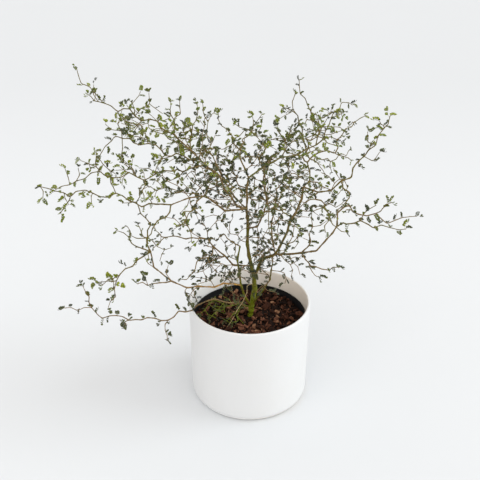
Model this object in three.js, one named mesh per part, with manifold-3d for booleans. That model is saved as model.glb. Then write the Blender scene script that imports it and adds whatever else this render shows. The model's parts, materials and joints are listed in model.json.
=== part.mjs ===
// A little baby sophora trained as a bonsai, in a nursery pot inside a white cover pot.
// Millimetres, +Z up. The origin is the middle of the cover pot's flat foot, and -Y is the front.
import * as THREE from "three";
import { mergeVertices } from "three/addons/utils/BufferGeometryUtils.js";
import Module from "manifold-3d";

const wasm = await Module();
wasm.setup();

// Cover pot
const POT_HEIGHT = 125;
const POT_RADIUS = 70;
const POT_TAPER = 1.5;
const POT_WALL = 3;
const POT_FLOOR = 5;
const POT_FOOT_ROUND = 9;
const POT_FACETS = 44;

// Nursery pot
const NURSERY_RIM_RADIUS = 65.8;
const NURSERY_RIM_TOP = 105;
const NURSERY_RIM_DEPTH = 8;
const NURSERY_RIM_STEP = 1.6;
const NURSERY_BASE_RADIUS = 48;
const NURSERY_WALL = 1.4;
const NURSERY_FACETS = 32;
const DRAIN_HOLES = 6;
const DRAIN_RADIUS = 4;
const DRAIN_RING = 30;

// Soil and bark
const SOIL_TOP = 92;
const SOIL_MOUND = 3;
const CHIP_PITCH = 14.6;
const CHIP_LENGTH = 14;
const CHIP_WIDTH = 10;
const CHIP_HEIGHT = 6;
const CHIP_TILT = 0.35;

// Air between two pieces that touch on the real thing, and between two sprays that pass
const TOUCH = 0.3;
const PASS = 0.5;

// Growth of the sprays
const INTERNODE = 14.5;
const SWING = 3.5;
const SWING_TWIST = 0.5;
const LAST_SWING = 0.3;
const SPRAY_BUTT = 0.95;
const SPRAY_TIP = 0.7;
const TWIG_EVERY = 3;
const TWIG_STEP = 11.5;
const TWIG_STEPS = 2;
const TWIG_BUTT = 0.75;
const TWIG_TIP = 0.68;
const TWIG_BEND = 0.5;
const TWIG_LEAN = 0.5;
const TURNS = 8;

// How far out a butt may start, in what steps, and how much of a rod's round end a flat end fills
const BUTT_REACH = 12;
const BUTT_STEP = 0.1;
const FLAT_END = 0.8;

// Leaves: a rib with leaflets in pairs, cut from one arched blade
const LEAF_LENGTH = 10;
const LEAF_SPREAD = 4;
const LEAF_WIDTH = 0.62;
const LEAF_PAIRS = 2;
const LEAF_ARCH = 0.12;
const LEAF_SINK = 0.1;
const LEAF_SEAT = 1.6;
const BLADE = 0.62;
const RIB = 0.5;
const LEAF_SHOWN = 8;

// Edges shorter than this are closed up where grown pieces join
const TIDY = 0.05;

// Woody limbs: where each leaves its parent and the bends that it passes through.
// The girth is the radius at its root and at its end.
const LIMBS = {
  trunk: {
    girth: [4, 3.1],
    sides: 7,
    route: [[1, 5, 64], [1, 5, 97], [2, 4, 111], [4, 3, 124], [6, 3, 137], [5, 3, 152]],
  },
  left_stem: {
    girth: [2.5, 1.9],
    sides: 6,
    route: [
      [5, 3, 152], [2, 6, 166], [-1, 9, 179], [-3, 12, 193], [-2, 13, 211],
      [-3, 12, 226], [-4, 11, 236],
    ],
  },
  right_stem: {
    girth: [2.3, 1.8],
    sides: 6,
    route: [[5, 3, 152], [10, -6, 173], [13, -13, 187], [22, -20, 194], [27, -26, 200]],
  },
  centre_limb: {
    girth: [1.6, 1.35],
    sides: 4,
    route: [[-4, 11, 236], [-3, 14, 247], [-4, 17, 255], [-2, 20, 269]],
  },
  centre_left: {
    girth: [1.25, 1],
    sides: 4,
    route: [[-2, 20, 269], [-5, 26, 276], [-11, 36, 285], [-11, 46, 291]],
  },
  centre_right: {
    girth: [1.3, 0.95],
    sides: 4,
    route: [
      [-2, 20, 269], [11, 30, 275], [25, 38, 280], [34, 46, 282], [53, 54, 282],
      [63, 58, 287], [74, 60, 291],
    ],
  },
  front_limb: {
    girth: [1.3, 0.95],
    sides: 4,
    route: [
      [-2, 13, 211], [8, 6, 217], [11, 0, 227], [15, -8, 242], [17, -16, 258],
      [15, -24, 274], [14, -32, 295],
    ],
  },
  left_limb: {
    girth: [1.5, 1],
    sides: 4,
    route: [
      [-4, 11, 236], [-15, 6, 242], [-21, 0, 257], [-28, -4, 267], [-32, -8, 284],
      [-43, -10, 293], [-53, -12, 305], [-62, -12, 315], [-72, -10, 324],
    ],
  },
  left_low_limb: {
    girth: [1.4, 0.95],
    sides: 4,
    route: [
      [-4, 11, 236], [-19, -4, 242], [-27, -14, 246], [-41, -26, 265], [-48, -34, 273],
      [-62, -44, 276], [-80, -54, 273],
    ],
  },
  back_left_limb: {
    girth: [1.3, 0.95],
    sides: 4,
    route: [[-4, 11, 236], [-17, 26, 243], [-28, 42, 254], [-37, 58, 266], [-42, 70, 274]],
  },
  right_limb: {
    girth: [1.6, 1.25],
    sides: 4,
    route: [
      [27, -26, 200], [33, -30, 215], [39, -34, 233], [40, -36, 243], [47, -38, 258],
      [52, -38, 272], [53, -36, 284],
    ],
  },
  right_far: {
    girth: [1.2, 0.95],
    sides: 4,
    route: [
      [53, -36, 284], [67, -44, 282], [80, -48, 286], [89, -50, 297], [99, -50, 301],
      [100, -48, 310],
    ],
  },
  right_up: {
    girth: [1.1, 0.95],
    sides: 4,
    route: [[53, -36, 284], [60, -30, 288], [60, -26, 297], [57, -24, 306]],
  },
  mid_limb: {
    girth: [1.2, 0.95],
    sides: 4,
    route: [[27, -26, 200], [24, -16, 212], [23, -4, 226], [27, 6, 240], [29, 14, 255]],
  },
  right_low_limb: {
    girth: [1.4, 0.95],
    sides: 4,
    route: [
      [27, -26, 200], [41, -40, 208], [53, -50, 215], [67, -58, 222], [76, -62, 237],
      [82, -64, 246], [86, -64, 254], [86, -62, 268],
    ],
  },
  left_thin: {
    girth: [1.35, 1],
    sides: 4,
    route: [[2, 4, 113], [-5, -6, 131], [-10, -9, 150], [-12, -9, 169], [-14, -6, 181], [-11, 2, 194]],
  },
  orange_limb: {
    girth: [1.15, 0.95],
    sides: 4,
    route: [
      [-10, -9, 150], [-29, -24, 162], [-39, -34, 163], [-54, -48, 173], [-67, -56, 176],
      [-82, -64, 189], [-99, -72, 211], [-101, -72, 229],
    ],
  },
  left_mid_limb: {
    girth: [1.3, 0.95],
    sides: 4,
    route: [[2, 6, 166], [-19, -3, 173], [-27, -8, 187], [-40, -14, 202], [-46, -18, 214], [-61, -24, 219]],
  },
  right_thin: {
    girth: [1.25, 0.95],
    sides: 4,
    route: [[3, 3, 116], [15, -12, 145], [22, -20, 164], [23, -28, 181], [24, -36, 196]],
  },
  low_limb: {
    girth: [1.2, 0.95],
    sides: 4,
    route: [[1, 5, 104], [-12, -8, 127], [-23, -14, 129], [-40, -22, 140], [-53, -30, 140]],
  },
  dead_twig: {
    girth: [0.95, 0.75],
    sides: 4,
    route: [
      [4, 0, 146], [-3, -6, 148], [-3, -9, 141], [-7, -14, 132], [-15, -20, 122],
      [-20, -24, 113], [-26, -27, 105],
    ],
  },
};

// Leafy sprays: the limb and the bend that each springs from, and the places that it reaches for
const SPRAYS = {
  left_top_spike: {
    limb: "left_limb",
    bend: 8,
    reach: [
      [-87, -6, 337], [-113, 4, 346], [-139, 14, 349], [-156, 20, 356], [-168, 26, 366],
      [-180, 32, 386],
    ],
  },
  left_top_pair: { limb: "left_limb", bend: 8, reach: [[-81, 10, 332], [-77, 24, 339], [-74, 40, 350]] },
  left_top_twin: { limb: "left_limb", bend: 7, reach: [[-62, -2, 328], [-58, 8, 340], [-55, 20, 353]] },
  left_loop: {
    limb: "left_limb",
    bend: 6,
    reach: [[-72, -26, 312], [-99, -40, 331], [-127, -48, 344], [-141, -54, 340], [-146, -60, 326]],
  },
  left_spike_upper: {
    limb: "left_limb",
    bend: 5,
    reach: [[-74, -30, 300], [-110, -50, 300], [-141, -62, 312], [-165, -70, 308], [-188, -76, 299]],
  },
  left_spike: {
    limb: "left_low_limb",
    bend: 6,
    reach: [[-105, -58, 272], [-128, -62, 286], [-155, -66, 292], [-185, -70, 292], [-204, -70, 300]],
  },
  left_drop: {
    limb: "left_low_limb",
    bend: 6,
    reach: [[-90, -70, 262], [-97, -84, 254], [-117, -96, 260]],
  },
  left_front: {
    limb: "left_low_limb",
    bend: 4,
    reach: [[-54, -70, 279], [-64, -96, 284], [-70, -120, 282]],
  },
  back_left_high: {
    limb: "back_left_limb",
    bend: 4,
    reach: [[-47, 96, 281], [-51, 118, 287], [-43, 138, 303]],
  },
  back_left_wide: {
    limb: "back_left_limb",
    bend: 4,
    reach: [[-64, 92, 272], [-92, 116, 275], [-120, 140, 284], [-149, 156, 283]],
  },
  back_left_low: {
    limb: "back_left_limb",
    bend: 2,
    reach: [[-44, 70, 236], [-69, 100, 217], [-101, 128, 207], [-139, 150, 194]],
  },
  centre_top_left: {
    limb: "centre_left",
    bend: 3,
    reach: [[-19, 60, 299], [-31, 72, 308], [-35, 84, 321]],
  },
  centre_top: { limb: "centre_left", bend: 3, reach: [[-9, 66, 297], [3, 88, 295], [15, 108, 299]] },
  centre_back: { limb: "centre_limb", bend: 2, reach: [[-16, 60, 254], [-25, 100, 256], [-16, 140, 266]] },
  front_high: { limb: "front_limb", bend: 6, reach: [[11, -44, 317], [10, -58, 338], [4, -70, 360]] },
  front_left: { limb: "front_limb", bend: 4, reach: [[-3, -44, 278], [-15, -80, 301], [-27, -116, 322]] },
  front_low: { limb: "front_limb", bend: 4, reach: [[17, -44, 268], [27, -84, 286], [33, -120, 296]] },
  right_back_arch: {
    limb: "centre_right",
    bend: 3,
    reach: [[41, 76, 282], [40, 104, 285], [33, 130, 292]],
  },
  right_needle: { limb: "centre_right", bend: 5, reach: [[56, 60, 304], [52, 62, 322], [48, 64, 349]] },
  right_top_spike: {
    limb: "centre_right",
    bend: 6,
    reach: [[75, 64, 306], [64, 64, 329], [59, 64, 345], [52, 66, 365]],
  },
  right_top_wide: {
    limb: "centre_right",
    bend: 6,
    reach: [[85, 76, 297], [93, 90, 312], [101, 100, 323], [119, 112, 321]],
  },
  right_back_low: {
    limb: "centre_right",
    bend: 4,
    reach: [[73, 88, 264], [103, 118, 249], [128, 146, 251]],
  },
  right_corner: {
    limb: "right_up",
    bend: 3,
    reach: [[72, -18, 312], [89, -8, 313], [92, 6, 326], [106, 16, 335], [121, 24, 338]],
  },
  right_mid_top: { limb: "right_up", bend: 3, reach: [[52, -40, 328], [57, -58, 348], [65, -72, 361]] },
  right_spike: {
    limb: "right_far",
    bend: 5,
    reach: [[112, -46, 320], [120, -42, 332], [127, -38, 346], [135, -34, 359]],
  },
  right_elbow: { limb: "right_far", bend: 3, reach: [[93, -66, 288], [96, -84, 286], [86, -104, 288]] },
  right_front: { limb: "right_far", bend: 1, reach: [[69, -70, 282], [74, -96, 282], [68, -124, 280]] },
  right_arm: {
    limb: "right_low_limb",
    bend: 7,
    reach: [[96, -60, 277], [111, -58, 264], [128, -56, 260], [149, -54, 254], [168, -50, 259]],
  },
  right_arm_low: {
    limb: "right_low_limb",
    bend: 6,
    reach: [[97, -76, 268], [110, -82, 264], [126, -88, 266], [149, -92, 265]],
  },
  right_low: { limb: "right_low_limb", bend: 2, reach: [[56, -60, 209], [70, -72, 210], [89, -84, 217]] },
  right_inner: { limb: "right_low_limb", bend: 2, reach: [[61, -46, 225], [66, -38, 238], [63, -30, 253]] },
  mid_back: { limb: "mid_limb", bend: 4, reach: [[38, 40, 258], [55, 80, 245], [75, 120, 224]] },
  mid_right: {
    limb: "mid_limb",
    bend: 2,
    reach: [[38, 20, 225], [64, 40, 218], [89, 60, 215], [113, 80, 211]],
  },
  left_low: {
    limb: "orange_limb",
    bend: 7,
    reach: [[-111, -78, 229], [-121, -84, 220], [-133, -90, 212], [-137, -96, 191]],
  },
  left_low_high: {
    limb: "orange_limb",
    bend: 7,
    reach: [[-113, -66, 228], [-123, -62, 239], [-136, -60, 248]],
  },
  left_vertical: {
    limb: "orange_limb",
    bend: 7,
    reach: [[-102, -64, 243], [-105, -50, 259], [-119, -40, 268], [-132, -36, 267]],
  },
  left_hook: { limb: "orange_limb", bend: 5, reach: [[-93, -76, 190], [-102, -86, 201], [-114, -96, 206]] },
  left_shelf: {
    limb: "left_mid_limb",
    bend: 5,
    reach: [[-77, -24, 220], [-90, -24, 219], [-104, -30, 211]],
  },
  left_shelf_front: {
    limb: "left_mid_limb",
    bend: 3,
    reach: [[-54, -35, 196], [-62, -50, 193], [-72, -64, 191]],
  },
  ground_shoot: {
    limb: "low_limb",
    bend: 4,
    reach: [
      [-65, -36, 137], [-88, -46, 131], [-109, -52, 131], [-149, -58, 140], [-174, -60, 151],
      [-199, -60, 153],
    ],
  },
  low_tuft: { limb: "trunk", bend: 2, reach: [[-14, 10, 109], [-28, 12, 111], [-42, 14, 114]] },
  left_thin_top: { limb: "left_thin", bend: 5, reach: [[-20, -4, 205], [-31, -14, 216], [-45, -30, 220]] },
  right_thin_top: { limb: "right_thin", bend: 4, reach: [[32, -60, 222], [40, -80, 247], [46, -96, 265]] },
};

const FINISHES = {
  ceramic: new THREE.MeshStandardMaterial({ color: 0xf1f0ee, roughness: 0.55, metalness: 0 }),
  plastic: new THREE.MeshStandardMaterial({ color: 0x1c1b1b, roughness: 0.6, metalness: 0 }),
  bark: new THREE.MeshStandardMaterial({ color: 0x55291d, roughness: 0.95, metalness: 0 }),
  wood: new THREE.MeshStandardMaterial({ color: 0x6b5a32, roughness: 0.8, metalness: 0 }),
  foliage: new THREE.MeshStandardMaterial({ color: 0x44592f, roughness: 0.7, metalness: 0 }),
};

const vector = ([x, y, z]) => new THREE.Vector3(x, y, z);
const between = (a, b, share) => a + (b - a) * share;

// A steady draw from 0 to 1 for three whole numbers
function chance(a, b, c) {
  let mix = Math.imul(a + 1, 73856093) ^ Math.imul(b + 1, 19349663) ^ Math.imul(c + 1, 83492791);
  mix = Math.imul(mix ^ (mix >>> 15), 0x85ebca6b);
  mix = Math.imul(mix ^ (mix >>> 13), 0xc2b2ae35);
  mix ^= mix >>> 16;
  return (mix >>> 0) / 4294967296;
}

// A closed three.js geometry as a solid
function solidOf(geometry) {
  geometry.deleteAttribute("normal");
  geometry.deleteAttribute("uv");
  const merged = mergeVertices(geometry, 1e-4);
  return new wasm.Manifold(
    new wasm.Mesh({
      numProp: 3,
      vertProperties: new Float32Array(merged.attributes.position.array),
      triVerts: new Uint32Array(merged.index.array),
    }),
  );
}

// Solids grown together as one body
const joined = (solids) => wasm.Manifold.union(solids).asOriginal().simplify(TIDY);

// A solid as a three.js mesh with its own name and finish
function meshOf(name, solid, finish) {
  const { numProp, vertProperties, triVerts } = solid.getMesh();
  const corners = new Float32Array((vertProperties.length / numProp) * 3);
  for (let i = 0; i < corners.length / 3; i++) {
    corners.set(vertProperties.subarray(i * numProp, i * numProp + 3), i * 3);
  }
  const geometry = new THREE.BufferGeometry();
  geometry.setAttribute("position", new THREE.BufferAttribute(corners, 3));
  geometry.setIndex(new THREE.BufferAttribute(new Uint32Array(triVerts), 1));
  geometry.computeVertexNormals();
  const mesh = new THREE.Mesh(geometry, FINISHES[finish].clone());
  mesh.name = name;
  return mesh;
}

// A profile of [radius, height] points turned about the Z axis
function turned(profile, facets) {
  const points = profile.map(([radius, height]) => new THREE.Vector2(radius, height));
  return new THREE.LatheGeometry(points, facets).rotateX(Math.PI / 2);
}

// A quarter round from one profile point towards another, about a centre
function quarterRound(centre, radius, from, steps) {
  return Array.from({ length: steps + 1 }, (_, i) => {
    const angle = from + (i / steps) * (Math.PI / 2);
    return [centre[0] + radius * Math.cos(angle), centre[1] + radius * Math.sin(angle)];
  });
}

// The cover pot's outer radius at a height: it narrows a little towards the foot
const potRadius = (height) => POT_RADIUS - POT_TAPER * (1 - height / POT_HEIGHT);

function coverPot() {
  const lip = POT_WALL / 2;
  const footRadius = potRadius(POT_FOOT_ROUND);
  const foot = quarterRound([footRadius - POT_FOOT_ROUND, POT_FOOT_ROUND], POT_FOOT_ROUND, -Math.PI / 2, 4);
  const edge = [POT_RADIUS - lip, POT_HEIGHT - lip];
  const rim = [...quarterRound(edge, lip, 0, 2), ...quarterRound(edge, lip, Math.PI / 2, 2).slice(1)];
  const inner = potRadius(POT_FOOT_ROUND) - POT_WALL;
  const profile = [[0, 0], ...foot, ...rim, [inner, POT_FLOOR + 5], [inner - 5, POT_FLOOR], [0, POT_FLOOR]];
  return solidOf(turned(profile, POT_FACETS));
}

// The nursery pot's outer wall radius at a height, below its rim band
function nurseryRadius(height) {
  const base = POT_FLOOR + TOUCH;
  const shoulder = NURSERY_RIM_TOP - NURSERY_RIM_DEPTH;
  const share = (height - base) / (shoulder - base);
  return between(NURSERY_BASE_RADIUS, NURSERY_RIM_RADIUS - NURSERY_RIM_STEP, share);
}

function nurseryPot() {
  const base = POT_FLOOR + TOUCH;
  const shoulder = NURSERY_RIM_TOP - NURSERY_RIM_DEPTH;
  const profile = [
    [0, base],
    [NURSERY_BASE_RADIUS, base],
    [nurseryRadius(shoulder), shoulder],
    [NURSERY_RIM_RADIUS, shoulder + 1],
    [NURSERY_RIM_RADIUS, NURSERY_RIM_TOP],
    [NURSERY_RIM_RADIUS - NURSERY_WALL, NURSERY_RIM_TOP],
    [NURSERY_RIM_RADIUS - NURSERY_WALL, shoulder + 2],
    [nurseryRadius(shoulder) - NURSERY_WALL, shoulder],
    [NURSERY_BASE_RADIUS - NURSERY_WALL, base + NURSERY_WALL],
    [0, base + NURSERY_WALL],
  ];
  const holes = Array.from({ length: DRAIN_HOLES }, (_, i) => {
    const angle = (i / DRAIN_HOLES) * 2 * Math.PI;
    const drill = new THREE.CylinderGeometry(DRAIN_RADIUS, DRAIN_RADIUS, 6 * NURSERY_WALL, 6);
    drill.rotateX(Math.PI / 2).translate(DRAIN_RING * Math.cos(angle), DRAIN_RING * Math.sin(angle), base);
    return solidOf(drill);
  });
  return solidOf(turned(profile, NURSERY_FACETS)).subtract(wasm.Manifold.union(holes));
}

// One bark chip: a flat block of four or five sides, narrower on top, skewed and tilted
function barkChip(index, radius, angle) {
  const size = between(0.75, 1.2, chance(index, 1, 0));
  const top = between(0.6, 0.85, chance(index, 2, 0));
  const chip = new THREE.CylinderGeometry(top, 1, CHIP_HEIGHT, 4 + (index % 2));
  chip.rotateX(Math.PI / 2).rotateZ(2 * chance(index, 3, 0));
  chip.scale((size * CHIP_LENGTH) / 2, (size * CHIP_WIDTH) / 2, 1);
  chip.applyMatrix4(new THREE.Matrix4().makeShear(0, 0, between(-0.5, 0.5, chance(index, 4, 0)), 0, 0, 0));
  chip.rotateX(between(-CHIP_TILT, CHIP_TILT, chance(index, 5, 0)));
  chip.rotateY(between(-CHIP_TILT, CHIP_TILT, chance(index, 6, 0)));
  chip.rotateZ(Math.PI * chance(index, 7, 0));
  const rise = between(-1.2, 0.9, chance(index, 8, 0));
  chip.translate(radius * Math.cos(angle), radius * Math.sin(angle), soilLevel(radius) + rise);
  return solidOf(chip);
}

// The soil's height at a distance from the middle: it rises a little towards the trunk
const soilLevel = (radius) => SOIL_TOP + SOIL_MOUND * (1 - (radius / NURSERY_RIM_RADIUS) ** 2);

// The space inside the nursery pot, up to a height at its wall and another in the middle
function potFilling(height, middle) {
  const base = POT_FLOOR + TOUCH + NURSERY_WALL + TOUCH;
  const shrink = NURSERY_WALL + TOUCH;
  const edge = nurseryRadius(height) - shrink;
  const profile = [
    [0, base],
    [nurseryRadius(base) - shrink, base],
    [edge, height],
    [edge / 2, middle],
    [0, middle],
  ];
  return solidOf(turned(profile, NURSERY_FACETS));
}

// Soil that fills the nursery pot, its bark chips standing out of the top, with a hole for the trunk
function soil() {
  const edge = nurseryRadius(SOIL_TOP) - NURSERY_WALL - CHIP_WIDTH / 2;
  const chips = [];
  const rings = Math.floor(edge / CHIP_PITCH);
  for (let ring = 1; ring <= rings; ring++) {
    const radius = (edge * ring) / rings;
    const count = Math.round((2 * Math.PI * radius) / CHIP_PITCH);
    for (let i = 0; i < count; i++) {
      chips.push(barkChip(chips.length, radius, ((i + ring / 2) / count) * 2 * Math.PI));
    }
  }
  const { route, girth } = LIMBS.trunk;
  const [x, y, z] = route[0];
  const bottom = z - girth[0] - TOUCH;
  const depth = POT_HEIGHT - bottom;
  const hole = new THREE.CylinderGeometry(girth[0] + 2 * TOUCH, girth[0] + 2 * TOUCH, depth, 10);
  hole.rotateX(Math.PI / 2).translate(x, y, bottom + depth / 2);
  const ground = potFilling(SOIL_TOP, soilLevel(edge / 3));
  const room = potFilling(SOIL_TOP + CHIP_HEIGHT, POT_HEIGHT);
  return joined([ground, ...chips]).intersect(room).subtract(solidOf(hole));
}

// A closed stem of flat sides along a crooked line, with one ring of corners at each bend
function stem(points, radii, sides) {
  const corners = [];
  const faces = [];
  const last = points.length - 1;
  const side = new THREE.Vector3(0.3, 1, 0.2);
  points.forEach((point, ring) => {
    const before = points[Math.max(ring - 1, 0)];
    const after = points[Math.min(ring + 1, last)];
    const along = after.clone().sub(point).normalize().add(point.clone().sub(before).normalize()).normalize();
    side.addScaledVector(along, -side.dot(along)).normalize();
    const other = along.clone().cross(side);
    for (let i = 0; i < sides; i++) {
      const angle = (i / sides) * 2 * Math.PI;
      const corner = point.clone().addScaledVector(side, radii[ring] * Math.cos(angle));
      corners.push(...corner.addScaledVector(other, radii[ring] * Math.sin(angle)));
      const next = (i + 1) % sides;
      if (ring < last) {
        const at = ring * sides;
        faces.push(at + i, at + next, at + sides + next, at + i, at + sides + next, at + sides + i);
      }
    }
  });
  for (let i = 1; i < sides - 1; i++) {
    faces.push(0, i + 1, i, last * sides, last * sides + i, last * sides + i + 1);
  }
  const geometry = new THREE.BufferGeometry();
  geometry.setAttribute("position", new THREE.Float32BufferAttribute(corners, 3));
  geometry.setIndex(faces);
  return solidOf(geometry);
}

// A leaf's outline along X: leaflets in pairs, cut in to the rib, and one at the end
function leafOutline(length) {
  const half = (length * LEAF_WIDTH) / 2;
  const ribAt = (share) => RIB * (1 - 0.3 * share * share);
  const side = [];
  for (let pair = 0; pair < LEAF_PAIRS; pair++) {
    const start = between(0.12, 0.7, pair / LEAF_PAIRS);
    const end = between(0.12, 0.7, (pair + 1) / LEAF_PAIRS);
    side.push([length * between(start, end, 0.72), half], [length * end, ribAt(end)]);
  }
  side.push([length * 0.9, half * 0.5]);
  const outline = [[-LEAF_SINK, 0], ...side, ...side.toReversed().map(([x, y]) => [x, -y])];
  return new THREE.Shape(outline.toReversed().map(([x, y]) => new THREE.Vector2(x, y)));
}

// One thin arched blade with its leaflets, set on its twig
function leafSolid({ base, along, normal, length }) {
  const blade = new THREE.ExtrudeGeometry(leafOutline(length), { depth: BLADE, bevelEnabled: false });
  blade.deleteAttribute("normal");
  blade.deleteAttribute("uv");
  const body = mergeVertices(blade, 1e-4);
  const corners = body.attributes.position;
  for (let i = 0; i < corners.count; i++) {
    const x = corners.getX(i);
    const fold = 0.18 * Math.abs(corners.getY(i));
    corners.setZ(i, corners.getZ(i) - BLADE / 2 + fold + LEAF_ARCH * x * (1 - x / length));
  }
  const across = normal.clone().cross(along);
  body.applyMatrix4(new THREE.Matrix4().makeBasis(along, across, normal).setPosition(base));
  return solidOf(body);
}

// The nearest that two straight rods' middle lines come to each other
function rodDistance(a, b, c, d) {
  const u = b.clone().sub(a);
  const v = d.clone().sub(c);
  const w = a.clone().sub(c);
  const uu = u.dot(u);
  const vv = v.dot(v);
  const uv = u.dot(v);
  const uw = u.dot(w);
  const vw = v.dot(w);
  const cross = uu * vv - uv * uv;
  const clamp = (value) => Math.min(Math.max(value, 0), 1);
  let s = cross > 1e-9 ? clamp((uv * vw - vv * uw) / cross) : 0;
  const t = clamp((uv * s + vw) / Math.max(vv, 1e-12));
  s = clamp((uv * t - uw) / Math.max(uu, 1e-12));
  return w.addScaledVector(u, s).addScaledVector(v, -t).length();
}

// True where a rod stays off the soil inside the pot, and off the rim
function clearsPot(from, to, radius) {
  return [0, 0.25, 0.5, 0.75, 1].every((share) => {
    const { x, y, z } = from.clone().lerp(to, share);
    const out = Math.hypot(x, y);
    const within = out < NURSERY_RIM_RADIUS - NURSERY_WALL - radius - PASS;
    const ground = within ? soilLevel(0) + CHIP_HEIGHT : POT_HEIGHT;
    return out > POT_RADIUS + radius + PASS || z > ground + radius;
  });
}

// Every rod of wood and leaf placed so far, so that what grows next stays clear of it
class Thicket {
  constructor() {
    this.rods = [];
  }

  add(owner, from, to, radius) {
    this.rods.push({ owner, from, to, radius });
  }

  // True where a rod stays clear of other pieces, and its far end clear of its own
  hasRoom(owner, from, to, radius, gap) {
    return clearsPot(from, to, radius) && this.rods.every((rod) => {
      const own = rod.owner === owner;
      const start = own ? to : from;
      return rodDistance(start, to, rod.from, rod.to) >= radius + rod.radius + gap;
    });
  }
}

// A direction square to a line, turned about it by an angle
function sideways(along, angle) {
  const level = along.clone().cross(new THREE.Vector3(0, 0, 1));
  if (level.length() < 0.05) level.set(1, 0, 0);
  level.addScaledVector(along, -level.dot(along)).normalize();
  const up = level.clone().cross(along);
  return level.multiplyScalar(Math.cos(angle)).addScaledVector(up, Math.sin(angle));
}

// Evenly spaced places along a route of straight stretches
function paced(route, step) {
  const lengths = route.slice(1).map((point, i) => point.distanceTo(route[i]));
  const whole = lengths.reduce((sum, length) => sum + length, 0);
  const count = Math.max(2, Math.round(whole / step));
  const places = [];
  for (let i = 0; i <= count; i++) {
    let left = (whole * i) / count;
    let leg = 0;
    while (leg < lengths.length - 1 && left > lengths[leg]) {
      left -= lengths[leg];
      leg += 1;
    }
    places.push(route[leg].clone().lerp(route[leg + 1], Math.min(left / lengths[leg], 1)));
  }
  return places;
}

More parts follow.
